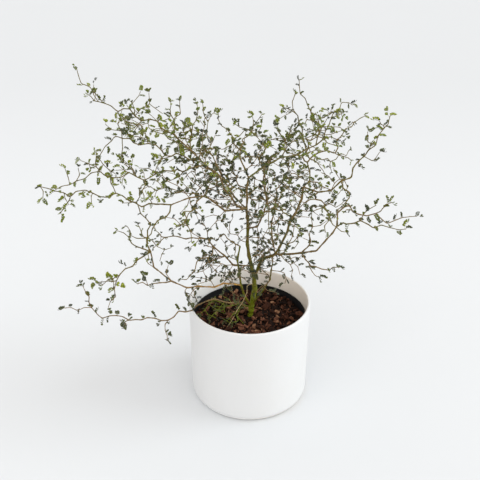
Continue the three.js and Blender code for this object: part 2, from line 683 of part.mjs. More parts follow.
// A leafy spray: a crooked main shoot, its side twigs and its leaves
class Spray {
  constructor(name, index, thicket) {
    const { limb, bend, reach } = SPRAYS[name];
    this.name = name;
    this.index = index;
    this.thicket = thicket;
    this.root = vector(LIMBS[limb].route[bend]);
    this.route = reach.map(vector);
    this.shoots = [];
    this.leaves = [];
  }

  // The butt stands on the line to the first joint, clear of the limb by the touching gap
  findButt(joint) {
    const along = joint.clone().sub(this.root).normalize();
    for (let away = 0; away < BUTT_REACH; away += BUTT_STEP) {
      const butt = this.root.clone().addScaledVector(along, away);
      const shoulder = butt.clone().addScaledVector(along, FLAT_END * SPRAY_BUTT);
      if (this.thicket.hasRoom(this.name, shoulder, joint, SPRAY_BUTT, TOUCH)) return { butt, shoulder };
    }
    return null;
  }

  // Start the main shoot at the first place that its first joint has room for
  sprout(shoot, places) {
    for (const joint of places) {
      const found = this.findButt(joint);
      if (!found) continue;
      this.thicket.add(this.name, found.shoulder, joint, SPRAY_BUTT);
      shoot.points.push(found.butt, joint);
      return true;
    }
    return false;
  }

  // Add the next joint of a shoot at the first place with room
  grow(shoot, places, radius) {
    const from = shoot.points.at(-1);
    const place = places.find((to) => this.thicket.hasRoom(this.name, from, to, radius, PASS));
    if (!place) return false;
    this.thicket.add(this.name, from, place, radius);
    shoot.points.push(place);
    return true;
  }

  growMain() {
    const places = paced([this.root, ...this.route], INTERNODE);
    const shoot = { points: [], main: true };
    this.shoots.push(shoot);
    const phase = 2 * Math.PI * chance(this.index, 0, 7);
    for (let i = 1; i < places.length; i++) {
      const along = places[i].clone().sub(places[i - 1]).normalize();
      const reach = i < places.length - 1 ? SWING : SWING * LAST_SWING;
      const swing = reach * between(0.7, 1.3, chance(this.index, i, 8)) * (i % 2 ? 1 : -1);
      const options = Array.from({ length: TURNS }, (_, turn) => {
        const angle = phase + SWING_TWIST * i + (turn / TURNS) * 2 * Math.PI;
        return places[i].clone().addScaledVector(sideways(along, angle), swing);
      });
      const grown = i === 1 ? this.sprout(shoot, options) : this.grow(shoot, options, SPRAY_BUTT);
      if (!grown) throw new Error(this.name + " stops at joint " + i + " of " + (places.length - 1));
    }
  }

  growTwigs() {
    const { points } = this.shoots[0];
    for (let joint = 1; joint < points.length - 1; joint++) {
      if ((joint + this.index) % TWIG_EVERY === 0) this.growTwig(points, joint);
    }
  }

  // A side twig springs from the outer side of a bend, and turns a little at each of its own
  growTwig(points, joint) {
    const along = points[joint + 1].clone().sub(points[joint - 1]).normalize();
    const middle = points[joint + 1].clone().add(points[joint - 1]).multiplyScalar(0.5);
    const outward = points[joint].clone().sub(middle).normalize();
    const twig = { points: [points[joint]], main: false };
    let heading = outward.addScaledVector(along, TWIG_LEAN).normalize();
    for (let step = 0; step < TWIG_STEPS; step++) {
      const from = twig.points.at(-1);
      const length = TWIG_STEP * between(0.8, 1.2, chance(this.index, joint, 20 + step));
      const phase = 6 * chance(this.index, joint, 30 + step);
      const options = Array.from({ length: TURNS }, (_, turn) => {
        const bend = step || turn ? TWIG_BEND * (1 + turn / TURNS) : 0;
        const side = sideways(heading, phase + (turn / TURNS) * 2 * Math.PI);
        return from.clone().addScaledVector(side.multiplyScalar(bend).add(heading).normalize(), length);
      });
      if (!this.grow(twig, options, TWIG_BUTT)) break;
      heading = twig.points.at(-1).clone().sub(from).normalize();
    }
    if (twig.points.length > 1) this.shoots.push(twig);
  }

  growLeaves() {
    this.shoots.forEach((shoot, order) => {
      shoot.points.forEach((point, joint) => {
        if (joint === 0) return;
        const tip = joint === shoot.points.length - 1;
        this.growLeaf(shoot, order, joint, 0, tip);
        if (tip) this.growLeaf(shoot, order, joint, 1, tip);
      });
    });
  }

  growLeaf(shoot, order, joint, twin, tip) {
    const along = shoot.points[joint].clone().sub(shoot.points[joint - 1]).normalize();
    const base = shoot.points[joint].clone().addScaledVector(along, -LEAF_SEAT);
    const draw = (salt) => chance(this.index * 40 + order, joint * 4 + twin, salt);
    const length = LEAF_LENGTH + LEAF_SPREAD * (draw(1) - 0.5);
    const half = (length * LEAF_WIDTH) / 2;
    for (let turn = 0; turn < TURNS; turn++) {
      const angle = 2 * Math.PI * (draw(2) + turn / TURNS);
      const heading = sideways(along, angle).addScaledVector(along, tip && !twin ? 1.6 : 0.5).normalize();
      const from = base.clone().addScaledVector(heading, half * 0.8);
      const to = base.clone().addScaledVector(heading, length - half * 0.6);
      if (!this.thicket.hasRoom(this.name, from, to, half, PASS)) continue;
      this.thicket.add(this.name, from, to, half);
      const normal = new THREE.Vector3(draw(3) - 0.5, draw(4) - 0.5, 1);
      normal.addScaledVector(heading, -normal.dot(heading)).normalize();
      this.leaves.push({ base, along: heading, normal, length, outermost: tip && !twin });
      return;
    }
  }

  solid() {
    const pieces = this.shoots.map(({ points, main }) => {
      const last = points.length - 1;
      const [butt, tip] = main ? [SPRAY_BUTT, SPRAY_TIP] : [TWIG_BUTT, TWIG_TIP];
      return stem(points, points.map((_, i) => between(butt, tip, i / last)), 3);
    });
    const turn = this.index % LEAF_SHOWN;
    const shown = this.leaves.filter(({ outermost }, i) => outermost || i % LEAF_SHOWN === turn);
    return joined([...pieces, ...shown.map(leafSolid)]);
  }
}

// The trunk with all its limbs, grown together as one piece of wood
function framework(thicket) {
  const limbs = Object.values(LIMBS).map(({ girth, sides, route }) => {
    const points = route.map(vector);
    const last = points.length - 1;
    const radii = points.map((_, i) => between(girth[0], girth[1], i / last));
    for (let i = 0; i < last; i++) {
      const back = points[i].clone().sub(points[i + 1]).normalize();
      const flat = i === last - 1 ? FLAT_END * radii[last] : 0;
      const end = points[i + 1].clone().addScaledVector(back, flat);
      thicket.add("framework", points[i].clone(), end, radii[i]);
    }
    points[0].add(points[0].clone().sub(points[1]).setLength(girth[0]));
    return stem(points, radii, sides);
  });
  return joined(limbs);
}

const thicket = new Thicket();
const frameworkSolid = framework(thicket);
const sprays = Object.keys(SPRAYS).map((name, index) => new Spray(name, index, thicket));
sprays.forEach((spray) => spray.growMain());
sprays.forEach((spray) => spray.growTwigs());
sprays.forEach((spray) => spray.growLeaves());

const bonsai = new THREE.Group();
bonsai.add(meshOf("pot", coverPot(), "ceramic"));
bonsai.add(meshOf("nursery_pot", nurseryPot(), "plastic"));
bonsai.add(meshOf("soil", soil(), "bark"));
bonsai.add(meshOf("framework", frameworkSolid, "wood"));
sprays.forEach((spray) => bonsai.add(meshOf("spray_" + spray.name, spray.solid(), "foliage")));

export default bonsai;
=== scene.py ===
"""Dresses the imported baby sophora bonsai: its pots, bark soil, stems and leaves, on a pale studio floor."""
import json
import logging
import math
from dataclasses import dataclass, field
from enum import Enum, IntEnum
from functools import partial
from typing import Callable, Iterable, Sequence, Union

import bmesh
import bpy
import numpy as np
from bpy.types import ID, Collection, ColorRamp, Material, Mesh, NodeSocket, NodeTree, Object
from mathutils import Matrix, Vector

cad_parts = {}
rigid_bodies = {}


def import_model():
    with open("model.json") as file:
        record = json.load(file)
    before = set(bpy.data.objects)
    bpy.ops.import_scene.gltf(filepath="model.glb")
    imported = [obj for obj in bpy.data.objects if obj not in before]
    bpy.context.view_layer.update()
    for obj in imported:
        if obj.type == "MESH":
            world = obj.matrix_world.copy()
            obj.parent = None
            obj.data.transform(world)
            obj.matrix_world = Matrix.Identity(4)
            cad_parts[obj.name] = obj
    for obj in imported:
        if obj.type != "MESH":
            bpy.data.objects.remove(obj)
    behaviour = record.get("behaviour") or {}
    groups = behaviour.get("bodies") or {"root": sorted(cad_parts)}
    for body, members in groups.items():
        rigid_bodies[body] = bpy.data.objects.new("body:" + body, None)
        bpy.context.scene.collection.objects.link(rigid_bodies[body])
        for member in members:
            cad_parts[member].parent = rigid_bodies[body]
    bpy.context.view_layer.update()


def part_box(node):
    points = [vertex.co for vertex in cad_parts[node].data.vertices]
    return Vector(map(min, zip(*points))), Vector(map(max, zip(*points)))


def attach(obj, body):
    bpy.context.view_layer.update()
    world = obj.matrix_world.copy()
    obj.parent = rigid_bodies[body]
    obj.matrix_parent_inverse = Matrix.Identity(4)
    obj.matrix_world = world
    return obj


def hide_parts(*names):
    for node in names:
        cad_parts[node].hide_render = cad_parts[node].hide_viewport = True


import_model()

LOG = logging.getLogger("bonsai")
ROOT = "root"
MM = 0.001
TURN = 2 * math.pi
UP = np.array([0.0, 0.0, 1.0])

Point = np.ndarray
Pair = tuple[float, float]
Triple = tuple[float, float, float]


class Bark(Enum):
    """How far a stem's bark has turned, from moss through olive and brown to tan and to dry bare wood."""

    MOSSY = 0.0
    OLIVE = 0.2
    BRONZE = 0.32
    BROWN = 0.45
    RUSSET = 0.58
    TAN = 0.8
    DRY = 1.0


class Flush(Enum):
    """The chance that a spray's leaf is one of this season's bright ones, where growth is at its freshest."""

    QUIET = 0.05
    SOME = 0.14
    BRIGHT = 0.48
    FULL = 1.4


class Twigs(Enum):
    """The shares of a stem's joints, at its root and its end, that carry a twig of the scene's alone."""

    NONE = (0.0, 0.0)
    FEW = (0.15, 0.1)
    EVEN = (0.4, 0.3)
    MANY = (0.7, 0.6)
    CROWD = (1.0, 0.9)
    FADING = (1.2, -0.7)


@dataclass(frozen=True)
class Limb:
    """A woody limb: its radius at the root and at the end, its bark and its bends, in millimetres.

    Slim is how much thinner the finished limb is than its solid, which has a least thickness.
    """

    girth: Pair
    bark: tuple[Bark, Bark]
    route: Sequence[Triple]
    slim: float = 0.9
    twigs: Twigs = Twigs.EVEN


@dataclass(frozen=True)
class Reach:
    """A leafy spray: the limb and the bend that it springs from, and the places that it reaches for.

    Shown is how long its leaves are, as a share of the solids' leaves.
    """

    limb: str
    bend: int
    places: Sequence[Triple]
    flush: Flush = Flush.SOME
    bark: Bark = Bark.BROWN
    twigs: Twigs = Twigs.EVEN
    shown: float = 0.62


LIMBS: dict[str, Limb] = {
    "trunk": Limb((4, 3.1), (Bark.MOSSY, Bark.OLIVE), [
        (1, 5, 64), (1, 5, 97), (2, 4, 111), (4, 3, 124), (6, 3, 137), (5, 3, 152),
    ], twigs=Twigs.NONE),
    "left_stem": Limb((2.5, 1.9), (Bark.OLIVE, Bark.BRONZE), [
        (5, 3, 152), (2, 6, 166), (-1, 9, 179), (-3, 12, 193), (-2, 13, 211), (-3, 12, 226), (-4, 11, 236),
    ], twigs=Twigs.MANY),
    "right_stem": Limb((2.3, 1.8), (Bark.OLIVE, Bark.BRONZE), [
        (5, 3, 152), (10, -6, 173), (13, -13, 187), (22, -20, 194), (27, -26, 200),
    ]),
    "centre_limb": Limb((1.6, 1.35), (Bark.BRONZE, Bark.BROWN), [
        (-4, 11, 236), (-3, 14, 247), (-4, 17, 255), (-2, 20, 269),
    ], twigs=Twigs.MANY),
    "centre_left": Limb((1.25, 1), (Bark.BRONZE, Bark.BROWN), [
        (-2, 20, 269), (-5, 26, 276), (-11, 36, 285), (-11, 46, 291),
    ], twigs=Twigs.MANY),
    "centre_right": Limb((1.3, 0.95), (Bark.OLIVE, Bark.BROWN), [
        (-2, 20, 269), (11, 30, 275), (25, 38, 280), (34, 46, 282), (53, 54, 282), (63, 58, 287),
        (74, 60, 291),
    ], twigs=Twigs.FEW),
    "front_limb": Limb((1.3, 0.95), (Bark.BROWN, Bark.RUSSET), [
        (-2, 13, 211), (8, 6, 217), (11, 0, 227), (15, -8, 242), (17, -16, 258), (15, -24, 274),
        (14, -32, 295),
    ], twigs=Twigs.CROWD),
    "left_limb": Limb((1.5, 1), (Bark.BROWN, Bark.RUSSET), [
        (-4, 11, 236), (-15, 6, 242), (-21, 0, 257), (-28, -4, 267), (-32, -8, 284), (-43, -10, 293),
        (-53, -12, 305), (-62, -12, 315), (-72, -10, 324),
    ], twigs=Twigs.CROWD),
    "left_low_limb": Limb((1.4, 0.95), (Bark.BROWN, Bark.RUSSET), [
        (-4, 11, 236), (-19, -4, 242), (-27, -14, 246), (-41, -26, 265), (-48, -34, 273), (-62, -44, 276),
        (-80, -54, 273),
    ], twigs=Twigs.MANY),
    "back_left_limb": Limb((1.3, 0.95), (Bark.BRONZE, Bark.BROWN), [
        (-4, 11, 236), (-17, 26, 243), (-28, 42, 254), (-37, 58, 266), (-42, 70, 274),
    ], twigs=Twigs.MANY),
    "right_limb": Limb((1.6, 1.25), (Bark.BRONZE, Bark.BROWN), [
        (27, -26, 200), (33, -30, 215), (39, -34, 233), (40, -36, 243), (47, -38, 258), (52, -38, 272),
        (53, -36, 284),
    ], twigs=Twigs.MANY),
    "right_far": Limb((1.2, 0.95), (Bark.BROWN, Bark.BROWN), [
        (53, -36, 284), (67, -44, 282), (80, -48, 286), (89, -50, 297), (99, -50, 301), (100, -48, 310),
    ], twigs=Twigs.FEW),
    "right_up": Limb((1.1, 0.95), (Bark.BROWN, Bark.BRONZE), [
        (53, -36, 284), (60, -30, 288), (60, -26, 297), (57, -24, 306),
    ]),
    "mid_limb": Limb((1.2, 0.95), (Bark.BROWN, Bark.RUSSET), [
        (27, -26, 200), (24, -16, 212), (23, -4, 226), (27, 6, 240), (29, 14, 255),
    ], twigs=Twigs.MANY),
    "right_low_limb": Limb((1.4, 0.95), (Bark.BROWN, Bark.RUSSET), [
        (27, -26, 200), (41, -40, 208), (53, -50, 215), (67, -58, 222), (76, -62, 237), (82, -64, 246),
        (86, -64, 254), (86, -62, 268),
    ], twigs=Twigs.FEW),
    "left_thin": Limb((1.35, 1), (Bark.OLIVE, Bark.OLIVE), [
        (2, 4, 113), (-5, -6, 131), (-10, -9, 150), (-12, -9, 169), (-14, -6, 181), (-11, 2, 194),
    ], 1.15, twigs=Twigs.MANY),
    "orange_limb": Limb((1.15, 0.95), (Bark.TAN, Bark.RUSSET), [
        (-10, -9, 150), (-29, -24, 162), (-39, -34, 163), (-54, -48, 173), (-67, -56, 176), (-82, -64, 189),
        (-99, -72, 211), (-101, -72, 229),
    ], twigs=Twigs.FEW),
    "left_mid_limb": Limb((1.3, 0.95), (Bark.BROWN, Bark.RUSSET), [
        (2, 6, 166), (-19, -3, 173), (-27, -8, 187), (-40, -14, 202), (-46, -18, 214), (-61, -24, 219),
    ]),
    "right_thin": Limb((1.25, 0.95), (Bark.OLIVE, Bark.BRONZE), [
        (3, 3, 116), (15, -12, 145), (22, -20, 164), (23, -28, 181), (24, -36, 196),
    ], twigs=Twigs.MANY),
    "low_limb": Limb((1.2, 0.95), (Bark.RUSSET, Bark.RUSSET), [
        (1, 5, 104), (-12, -8, 127), (-23, -14, 129), (-40, -22, 140), (-53, -30, 140),
    ], twigs=Twigs.NONE),
    "dead_twig": Limb((0.95, 0.75), (Bark.DRY, Bark.DRY), [
        (4, 0, 146), (-3, -6, 148), (-3, -9, 141), (-7, -14, 132), (-15, -20, 122), (-20, -24, 113),
        (-26, -27, 105),
    ], 0.6, twigs=Twigs.NONE),
}

SPRAYS: dict[str, Reach] = {
    "left_top_spike": Reach("left_limb", 8, [
        (-87, -6, 337), (-113, 4, 346), (-139, 14, 349), (-156, 20, 356), (-168, 26, 366), (-180, 32, 386),
    ], Flush.BRIGHT, twigs=Twigs.FADING, shown=0.58),
    "left_top_pair": Reach("left_limb", 8, [
        (-81, 10, 332), (-77, 24, 339), (-74, 40, 350),
    ], Flush.BRIGHT, twigs=Twigs.NONE, shown=0.42),
    "left_top_twin": Reach("left_limb", 7, [
        (-62, -2, 328), (-58, 8, 340), (-55, 20, 353),
    ], Flush.BRIGHT, twigs=Twigs.CROWD),
    "left_loop": Reach("left_limb", 6, [
        (-72, -26, 312), (-99, -40, 331), (-127, -48, 344), (-141, -54, 340), (-146, -60, 326),
    ]),
    "left_spike_upper": Reach("left_limb", 5, [
        (-74, -30, 300), (-110, -50, 300), (-141, -62, 312), (-165, -70, 308), (-188, -76, 299),
    ], Flush.BRIGHT, twigs=Twigs.FEW, shown=0.5),
    "left_spike": Reach("left_low_limb", 6, [
        (-105, -58, 272), (-128, -62, 286), (-155, -66, 292), (-185, -70, 292), (-204, -70, 300),
    ], Flush.FULL, twigs=Twigs.NONE, shown=0.66),
    "left_drop": Reach("left_low_limb", 6, [
        (-90, -70, 262), (-97, -84, 254), (-117, -96, 260),
    ], Flush.QUIET, twigs=Twigs.NONE, shown=0.36),
    "left_front": Reach("left_low_limb", 4, [
        (-54, -70, 279), (-64, -96, 284), (-70, -120, 282),
    ], twigs=Twigs.NONE, shown=0.4),
    "back_left_high": Reach("back_left_limb", 4, [
        (-47, 96, 281), (-51, 118, 287), (-43, 138, 303),
    ], twigs=Twigs.FEW, shown=0.5),
    "back_left_wide": Reach("back_left_limb", 4, [
        (-64, 92, 272), (-92, 116, 275), (-120, 140, 284), (-149, 156, 283),
    ]),
    "back_left_low": Reach("back_left_limb", 2, [
        (-44, 70, 236), (-69, 100, 217), (-101, 128, 207), (-139, 150, 194),
    ], twigs=Twigs.FEW),
    "centre_top_left": Reach("centre_left", 3, [
        (-19, 60, 299), (-31, 72, 308), (-35, 84, 321),
    ], Flush.BRIGHT, twigs=Twigs.NONE),
    "centre_top": Reach("centre_left", 3, [
        (-9, 66, 297), (3, 88, 295), (15, 108, 299),
    ], twigs=Twigs.FEW, shown=0.45),
    "centre_back": Reach("centre_limb", 2, [(-16, 60, 254), (-25, 100, 256), (-16, 140, 266)], Flush.QUIET),
    "front_high": Reach("front_limb", 6, [(11, -44, 317), (10, -58, 338), (4, -70, 360)]),
    "front_left": Reach("front_limb", 4, [
        (-3, -44, 278), (-15, -80, 301), (-27, -116, 322),
    ], twigs=Twigs.FEW, shown=0.45),
    "front_low": Reach("front_limb", 4, [
        (17, -44, 268), (27, -84, 286), (33, -120, 296),
    ], Flush.QUIET, shown=0.55),
    "right_back_arch": Reach("centre_right", 3, [(41, 76, 282), (40, 104, 285), (33, 130, 292)]),
    "right_needle": Reach("centre_right", 5, [(56, 60, 304), (52, 62, 322), (48, 64, 349)], shown=0.5),
    "right_top_spike": Reach("centre_right", 6, [
        (75, 64, 306), (64, 64, 329), (59, 64, 345), (52, 66, 365),
    ], twigs=Twigs.FADING, shown=0.5),
    "right_top_wide": Reach("centre_right", 6, [
        (85, 76, 297), (93, 90, 312), (101, 100, 323), (119, 112, 321),
    ], twigs=Twigs.FEW),
    "right_back_low": Reach("centre_right", 4, [
        (73, 88, 264), (103, 118, 249), (128, 146, 251),
    ], Flush.QUIET, twigs=Twigs.NONE, shown=0.34),
    "right_corner": Reach("right_up", 3, [
        (72, -18, 312), (89, -8, 313), (92, 6, 326), (106, 16, 335), (121, 24, 338),
    ], twigs=Twigs.NONE, shown=0.37),
    "right_mid_top": Reach("right_up", 3, [
        (52, -40, 328), (57, -58, 348), (65, -72, 361),
    ], Flush.BRIGHT, shown=0.5),
    "right_spike": Reach("right_far", 5, [
        (112, -46, 320), (120, -42, 332), (127, -38, 346), (135, -34, 359),
    ]),
    "right_elbow": Reach("right_far", 3, [
        (93, -66, 288), (96, -84, 286), (86, -104, 288),
    ], twigs=Twigs.NONE, shown=0.42),
    "right_front": Reach("right_far", 1, [
        (69, -70, 282), (74, -96, 282), (68, -124, 280),
    ], Flush.QUIET, twigs=Twigs.NONE, shown=0.48),
    "right_arm": Reach("right_low_limb", 7, [
        (96, -60, 277), (111, -58, 264), (128, -56, 260), (149, -54, 254), (168, -50, 259),
    ], Flush.QUIET, Bark.RUSSET, Twigs.NONE, 0.64),
    "right_arm_low": Reach("right_low_limb", 6, [
        (97, -76, 268), (110, -82, 264), (126, -88, 266), (149, -92, 265),
    ], twigs=Twigs.NONE, shown=0.7),
    "right_low": Reach("right_low_limb", 2, [
        (56, -60, 209), (70, -72, 210), (89, -84, 217),
    ], Flush.QUIET, Bark.RUSSET, twigs=Twigs.NONE),
    "right_inner": Reach("right_low_limb", 2, [
        (61, -46, 225), (66, -38, 238), (63, -30, 253),
    ], Flush.QUIET, twigs=Twigs.MANY),
    "mid_back": Reach("mid_limb", 4, [
        (38, 40, 258), (55, 80, 245), (75, 120, 224),
    ], Flush.QUIET, twigs=Twigs.MANY),
    "mid_right": Reach("mid_limb", 2, [
        (38, 20, 225), (64, 40, 218), (89, 60, 215), (113, 80, 211),
    ], Flush.QUIET, twigs=Twigs.FEW, shown=0.55),
    "left_low": Reach("orange_limb", 7, [
        (-111, -78, 229), (-121, -84, 220), (-133, -90, 212), (-137, -96, 191),
    ], Flush.FULL, twigs=Twigs.FEW, shown=0.7),
    "left_low_high": Reach("orange_limb", 7, [
        (-113, -66, 228), (-123, -62, 239), (-136, -60, 248),
    ], Flush.QUIET, twigs=Twigs.NONE, shown=0.36),
    "left_vertical": Reach("orange_limb", 7, [
        (-102, -64, 243), (-105, -50, 259), (-119, -40, 268), (-132, -36, 267),
    ], Flush.QUIET, twigs=Twigs.NONE, shown=0.38),
    "left_hook": Reach("orange_limb", 5, [
        (-93, -76, 190), (-102, -86, 201), (-114, -96, 206),
    ], Flush.QUIET, Bark.RUSSET, twigs=Twigs.FEW),
    "left_shelf": Reach("left_mid_limb", 5, [
        (-77, -24, 220), (-90, -24, 219), (-104, -30, 211),
    ], Flush.QUIET, twigs=Twigs.FEW, shown=0.5),
    "left_shelf_front": Reach("left_mid_limb", 3, [
        (-54, -35, 196), (-62, -50, 193), (-72, -64, 191),
    ], Flush.QUIET, shown=0.48),
    "ground_shoot": Reach("low_limb", 4, [
        (-65, -36, 137), (-88, -46, 131), (-109, -52, 131), (-149, -58, 140), (-174, -60, 151),
        (-199, -60, 153),
    ], bark=Bark.RUSSET, twigs=Twigs.NONE, shown=0.64),
    "low_tuft": Reach("trunk", 2, [
        (-14, 10, 109), (-28, 12, 111), (-42, 14, 114),
    ], Flush.QUIET, Bark.MOSSY, Twigs.MANY, 0.45),
    "left_thin_top": Reach("left_thin", 5, [
        (-20, -4, 205), (-31, -14, 216), (-45, -30, 220),
    ], Flush.QUIET, twigs=Twigs.FEW, shown=0.46),
    "right_thin_top": Reach("right_thin", 4, [
        (32, -60, 222), (40, -80, 247), (46, -96, 265),
    ], Flush.QUIET, twigs=Twigs.FEW),
}

SPRIGS: list[tuple[str, list[Triple]]] = [
    ("left_top_spike", [(-113, 4, 346), (-104, 8, 357), (-103, 14, 366)]),
    ("left_top_spike", [(-113, 4, 346), (-118, 2, 357), (-123, -4, 365)]),
    ("left_top_spike", [(-139, 14, 349), (-132, 4, 343), (-127, -6, 336)]),
    ("left_loop", [(-99, -40, 331), (-108, -36, 349), (-116, -30, 355)]),
    ("left_loop", [(-127, -48, 344), (-127, -52, 357), (-116, -56, 367)]),
    ("left_loop", [(-146, -60, 326), (-143, -56, 314), (-133, -52, 306)]),
    ("left_spike_upper", [(-110, -50, 300), (-117, -46, 312), (-128, -40, 315)]),
    ("left_spike_upper", [(-110, -50, 300), (-118, -58, 310), (-126, -64, 317)]),
    ("left_mid_limb", [(-19, -3, 173), (-40, -16, 184), (-48, -24, 181), (-59, -32, 181)]),
    ("left_mid_limb", [(-27, -8, 187), (-44, -2, 186), (-56, 4, 178)]),
    ("orange_limb", [(-39, -34, 163), (-48, -34, 177), (-58, -40, 181)]),
    ("orange_limb", [(-54, -48, 173), (-64, -54, 167), (-58, -60, 163)]),
    ("left_thin", [(-10, -9, 150), (-22, -10, 155), (-31, -16, 166)]),
    ("left_thin", [(-12, -9, 169), (-2, -24, 189), (6, -30, 200), (17, -34, 210)]),
    ("right_stem", [(13, -13, 187), (13, -30, 202), (6, -38, 217)]),
    ("right_stem", [(22, -20, 194), (16, -34, 215), (12, -40, 230), (20, -44, 241)]),
    ("left_stem", [(2, 6, 166), (14, 16, 171), (23, 24, 177), (30, 30, 187)]),
    ("right_thin", [(22, -20, 164), (13, -34, 187), (6, -40, 183)]),
    ("back_left_limb", [(-28, 42, 254), (-42, 36, 283), (-50, 32, 294), (-45, 30, 307)]),
    ("left_limb", [(-32, -8, 284), (-46, -14, 296), (-48, -18, 311), (-39, -20, 320)]),
    ("left_limb", [(-53, -12, 305), (-50, -6, 325), (-46, -2, 335), (-52, 2, 342)]),
    ("centre_right", [(11, 30, 275), (15, 20, 281), (19, 14, 293)]),
    ("centre_left", [(-5, 26, 276), (4, 34, 284), (13, 40, 294), (13, 44, 306)]),
    ("centre_left", [(-11, 46, 291), (-20, 40, 303), (-13, 36, 314)]),
    ("right_limb", [(52, -38, 272), (42, -30, 278), (35, -24, 268)]),
    ("right_limb", [(47, -38, 258), (58, -44, 273), (65, -48, 284), (60, -50, 296)]),
    ("right_far", [(80, -48, 286), (87, -44, 298), (98, -40, 289), (97, -36, 279)]),
    ("right_spike", [(112, -46, 320), (121, -44, 317), (126, -42, 325)]),
    ("right_spike", [(120, -42, 332), (114, -40, 336), (112, -38, 344)]),
    ("right_top_spike", [(75, 64, 306), (82, 58, 318), (86, 52, 333)]),
    ("right_top_spike", [(64, 64, 329), (75, 66, 322), (86, 70, 322), (92, 74, 331)]),
    ("right_mid_top", [(57, -58, 348), (66, -50, 353), (75, -44, 354), (83, -36, 343)]),
    ("right_back_arch", [(40, 104, 285), (47, 96, 297), (54, 90, 305)]),
    ("front_limb", [(17, -16, 258), (20, -20, 278), (24, -24, 291), (17, -28, 302)]),
    ("front_limb", [(15, -24, 274), (12, -18, 293), (18, -12, 300), (26, -6, 303)]),
    ("right_limb", [(52, -38, 272), (42, -36, 281), (33, -32, 288)]),
    ("left_mid_limb", [(-46, -18, 214), (-63, -10, 218), (-72, -4, 225), (-82, 2, 215)]),
    ("left_stem", [(-3, 12, 193), (-15, 4, 206), (-24, -2, 214), (-28, -8, 227)]),
    ("left_loop", [(-127, -48, 344), (-126, -52, 323), (-121, -56, 314)]),
    ("left_spike_upper", [(-110, -50, 300), (-118, -50, 307), (-123, -52, 317)]),
    ("left_spike", [(-185, -70, 292), (-182, -72, 288), (-177, -76, 285)]),
    ("left_spike", [(-204, -70, 300), (-201, -74, 296), (-202, -78, 292)]),
    ("left_spike", [(-155, -66, 292), (-155, -72, 289), (-156, -76, 287)]),
    ("left_spike_upper", [(-176, -73, 304), (-176, -76, 313), (-174, -78, 322)]),
    ("left_spike_upper", [(-165, -70, 308), (-166, -66, 314), (-167, -62, 316)]),
    ("left_low", [(-137, -96, 191), (-140, -98, 185), (-142, -102, 182)]),
    ("left_low", [(-133, -90, 212), (-148, -86, 201), (-157, -82, 197)]),
    ("left_vertical", [(-102, -64, 243), (-90, -60, 223), (-82, -56, 223)]),
    ("left_mid_limb", [(-61, -24, 219), (-71, -28, 215), (-79, -32, 212)]),
    ("left_mid_limb", [(-46, -18, 214), (-48, -24, 230), (-53, -30, 241)]),
    ("left_mid_limb", [(-27, -8, 187), (-46, -16, 184), (-52, -22, 178)]),
    ("orange_limb", [(-67, -56, 176), (-70, -58, 176), (-65, -62, 170)]),
    ("left_low_limb", [(-41, -26, 265), (-63, -20, 289), (-69, -16, 299)]),
    ("left_low_limb", [(-48, -34, 273), (-74, -40, 283), (-82, -44, 278)]),
    ("left_low_limb", [(-62, -44, 276), (-87, -40, 298), (-91, -36, 307)]),
    ("left_low_limb", [(-80, -54, 273), (-97, -50, 285), (-94, -48, 275)]),
    ("left_limb", [(-28, -4, 267), (-47, -8, 284), (-55, -12, 281)]),
    ("low_tuft", [(-42, 14, 114), (-50, 6, 110), (-56, -4, 108)]),
    ("low_tuft", [(-28, 12, 111), (-38, -2, 107), (-48, -12, 106)]),
    ("low_tuft", [(-14, 10, 109), (-20, -6, 104), (-28, -14, 106)]),
    ("low_tuft", [(-14, 10, 109), (-14, -16, 104), (-20, -22, 106)]),
    ("orange_limb", [(-82, -64, 189), (-90, -60, 196), (-87, -56, 204)]),
    ("orange_limb", [(-99, -72, 211), (-103, -76, 219), (-105, -80, 228)]),
]


@dataclass(frozen=True)
class Habit:
    """How the plant grows, in millimetres: the solids' rule, and what is finer than they show."""

    internode: float = 14.5
    swing: float = 3.5
    swing_spread: Pair = (0.7, 1.3)
    swing_twist: float = 0.5
    last_swing: float = 0.3
    main_girth: Pair = (0.85, 0.42)
    butt: float = 0.95
    butt_reach: float = 12
    butt_step: float = 0.1
    flat_end: float = 0.8
    twig_every: int = 3
    twig_step: float = 11.5
    twig_spread: Pair = (0.8, 1.2)
    twig_steps: int = 2
    twig_girth: Pair = (0.6, 0.36)
    twig_butt: float = 0.75
    twig_bend: Pair = (0.5, 1.0)
    twig_lean: float = 0.5
    twig_phase: float = 6
    turns: int = 8
    touch: float = 0.3
    pass_by: float = 0.5
    leaf_length: float = 10
    leaf_spread: float = 4
    leaf_width: float = 0.62
    leaf_seat: float = 1.6
    leaf_ends: Pair = (0.8, 0.6)
    tip_lean: float = 1.6
    side_lean: float = 0.5
    tip_flush: float = 2
    flush_most: float = 0.9
    young_swell: float = 0.12
    usual_shown: float = 0.62
    inner_shown: float = 0.6
    slender: float = 0.92
    waist: float = 0.94
    knot: float = 1.15
    kink: float = 0.15
    kink_spread: Pair = (0.6, 1.3)
    twiglet_step: float = 8.8
    twiglet_spread: Pair = (0.7, 1.25)
    twiglet_steps: int = 4
    twiglet_radius: float = 0.5
    twiglet_tip: float = 0.34
    twiglet_lean: float = 0.35
    twiglet_bend: Pair = (0.75, 0.8)
    twiglet_gap: float = 0.25
    twin_share: float = 0.45
    branchlet_share: float = 0.25
    branchlet_steps: int = 2
    branchlet_slim: float = 0.2
    sprig_swing: float = 1.6
    sprig_swing_more: float = 0.25
    sprig_share: float = 0.7
    short_sprig: int = 3
    small_leaf: float = 5.7
    small_leaf_spread: float = 2.0
    small_leaf_width: float = 0.5
    small_leaf_share: float = 0.6
    small_tip_lean: float = 1.4
    limb_twiglets_above: float = 160
    limb_twiglet_steps: tuple[int, int] = (2, 3)


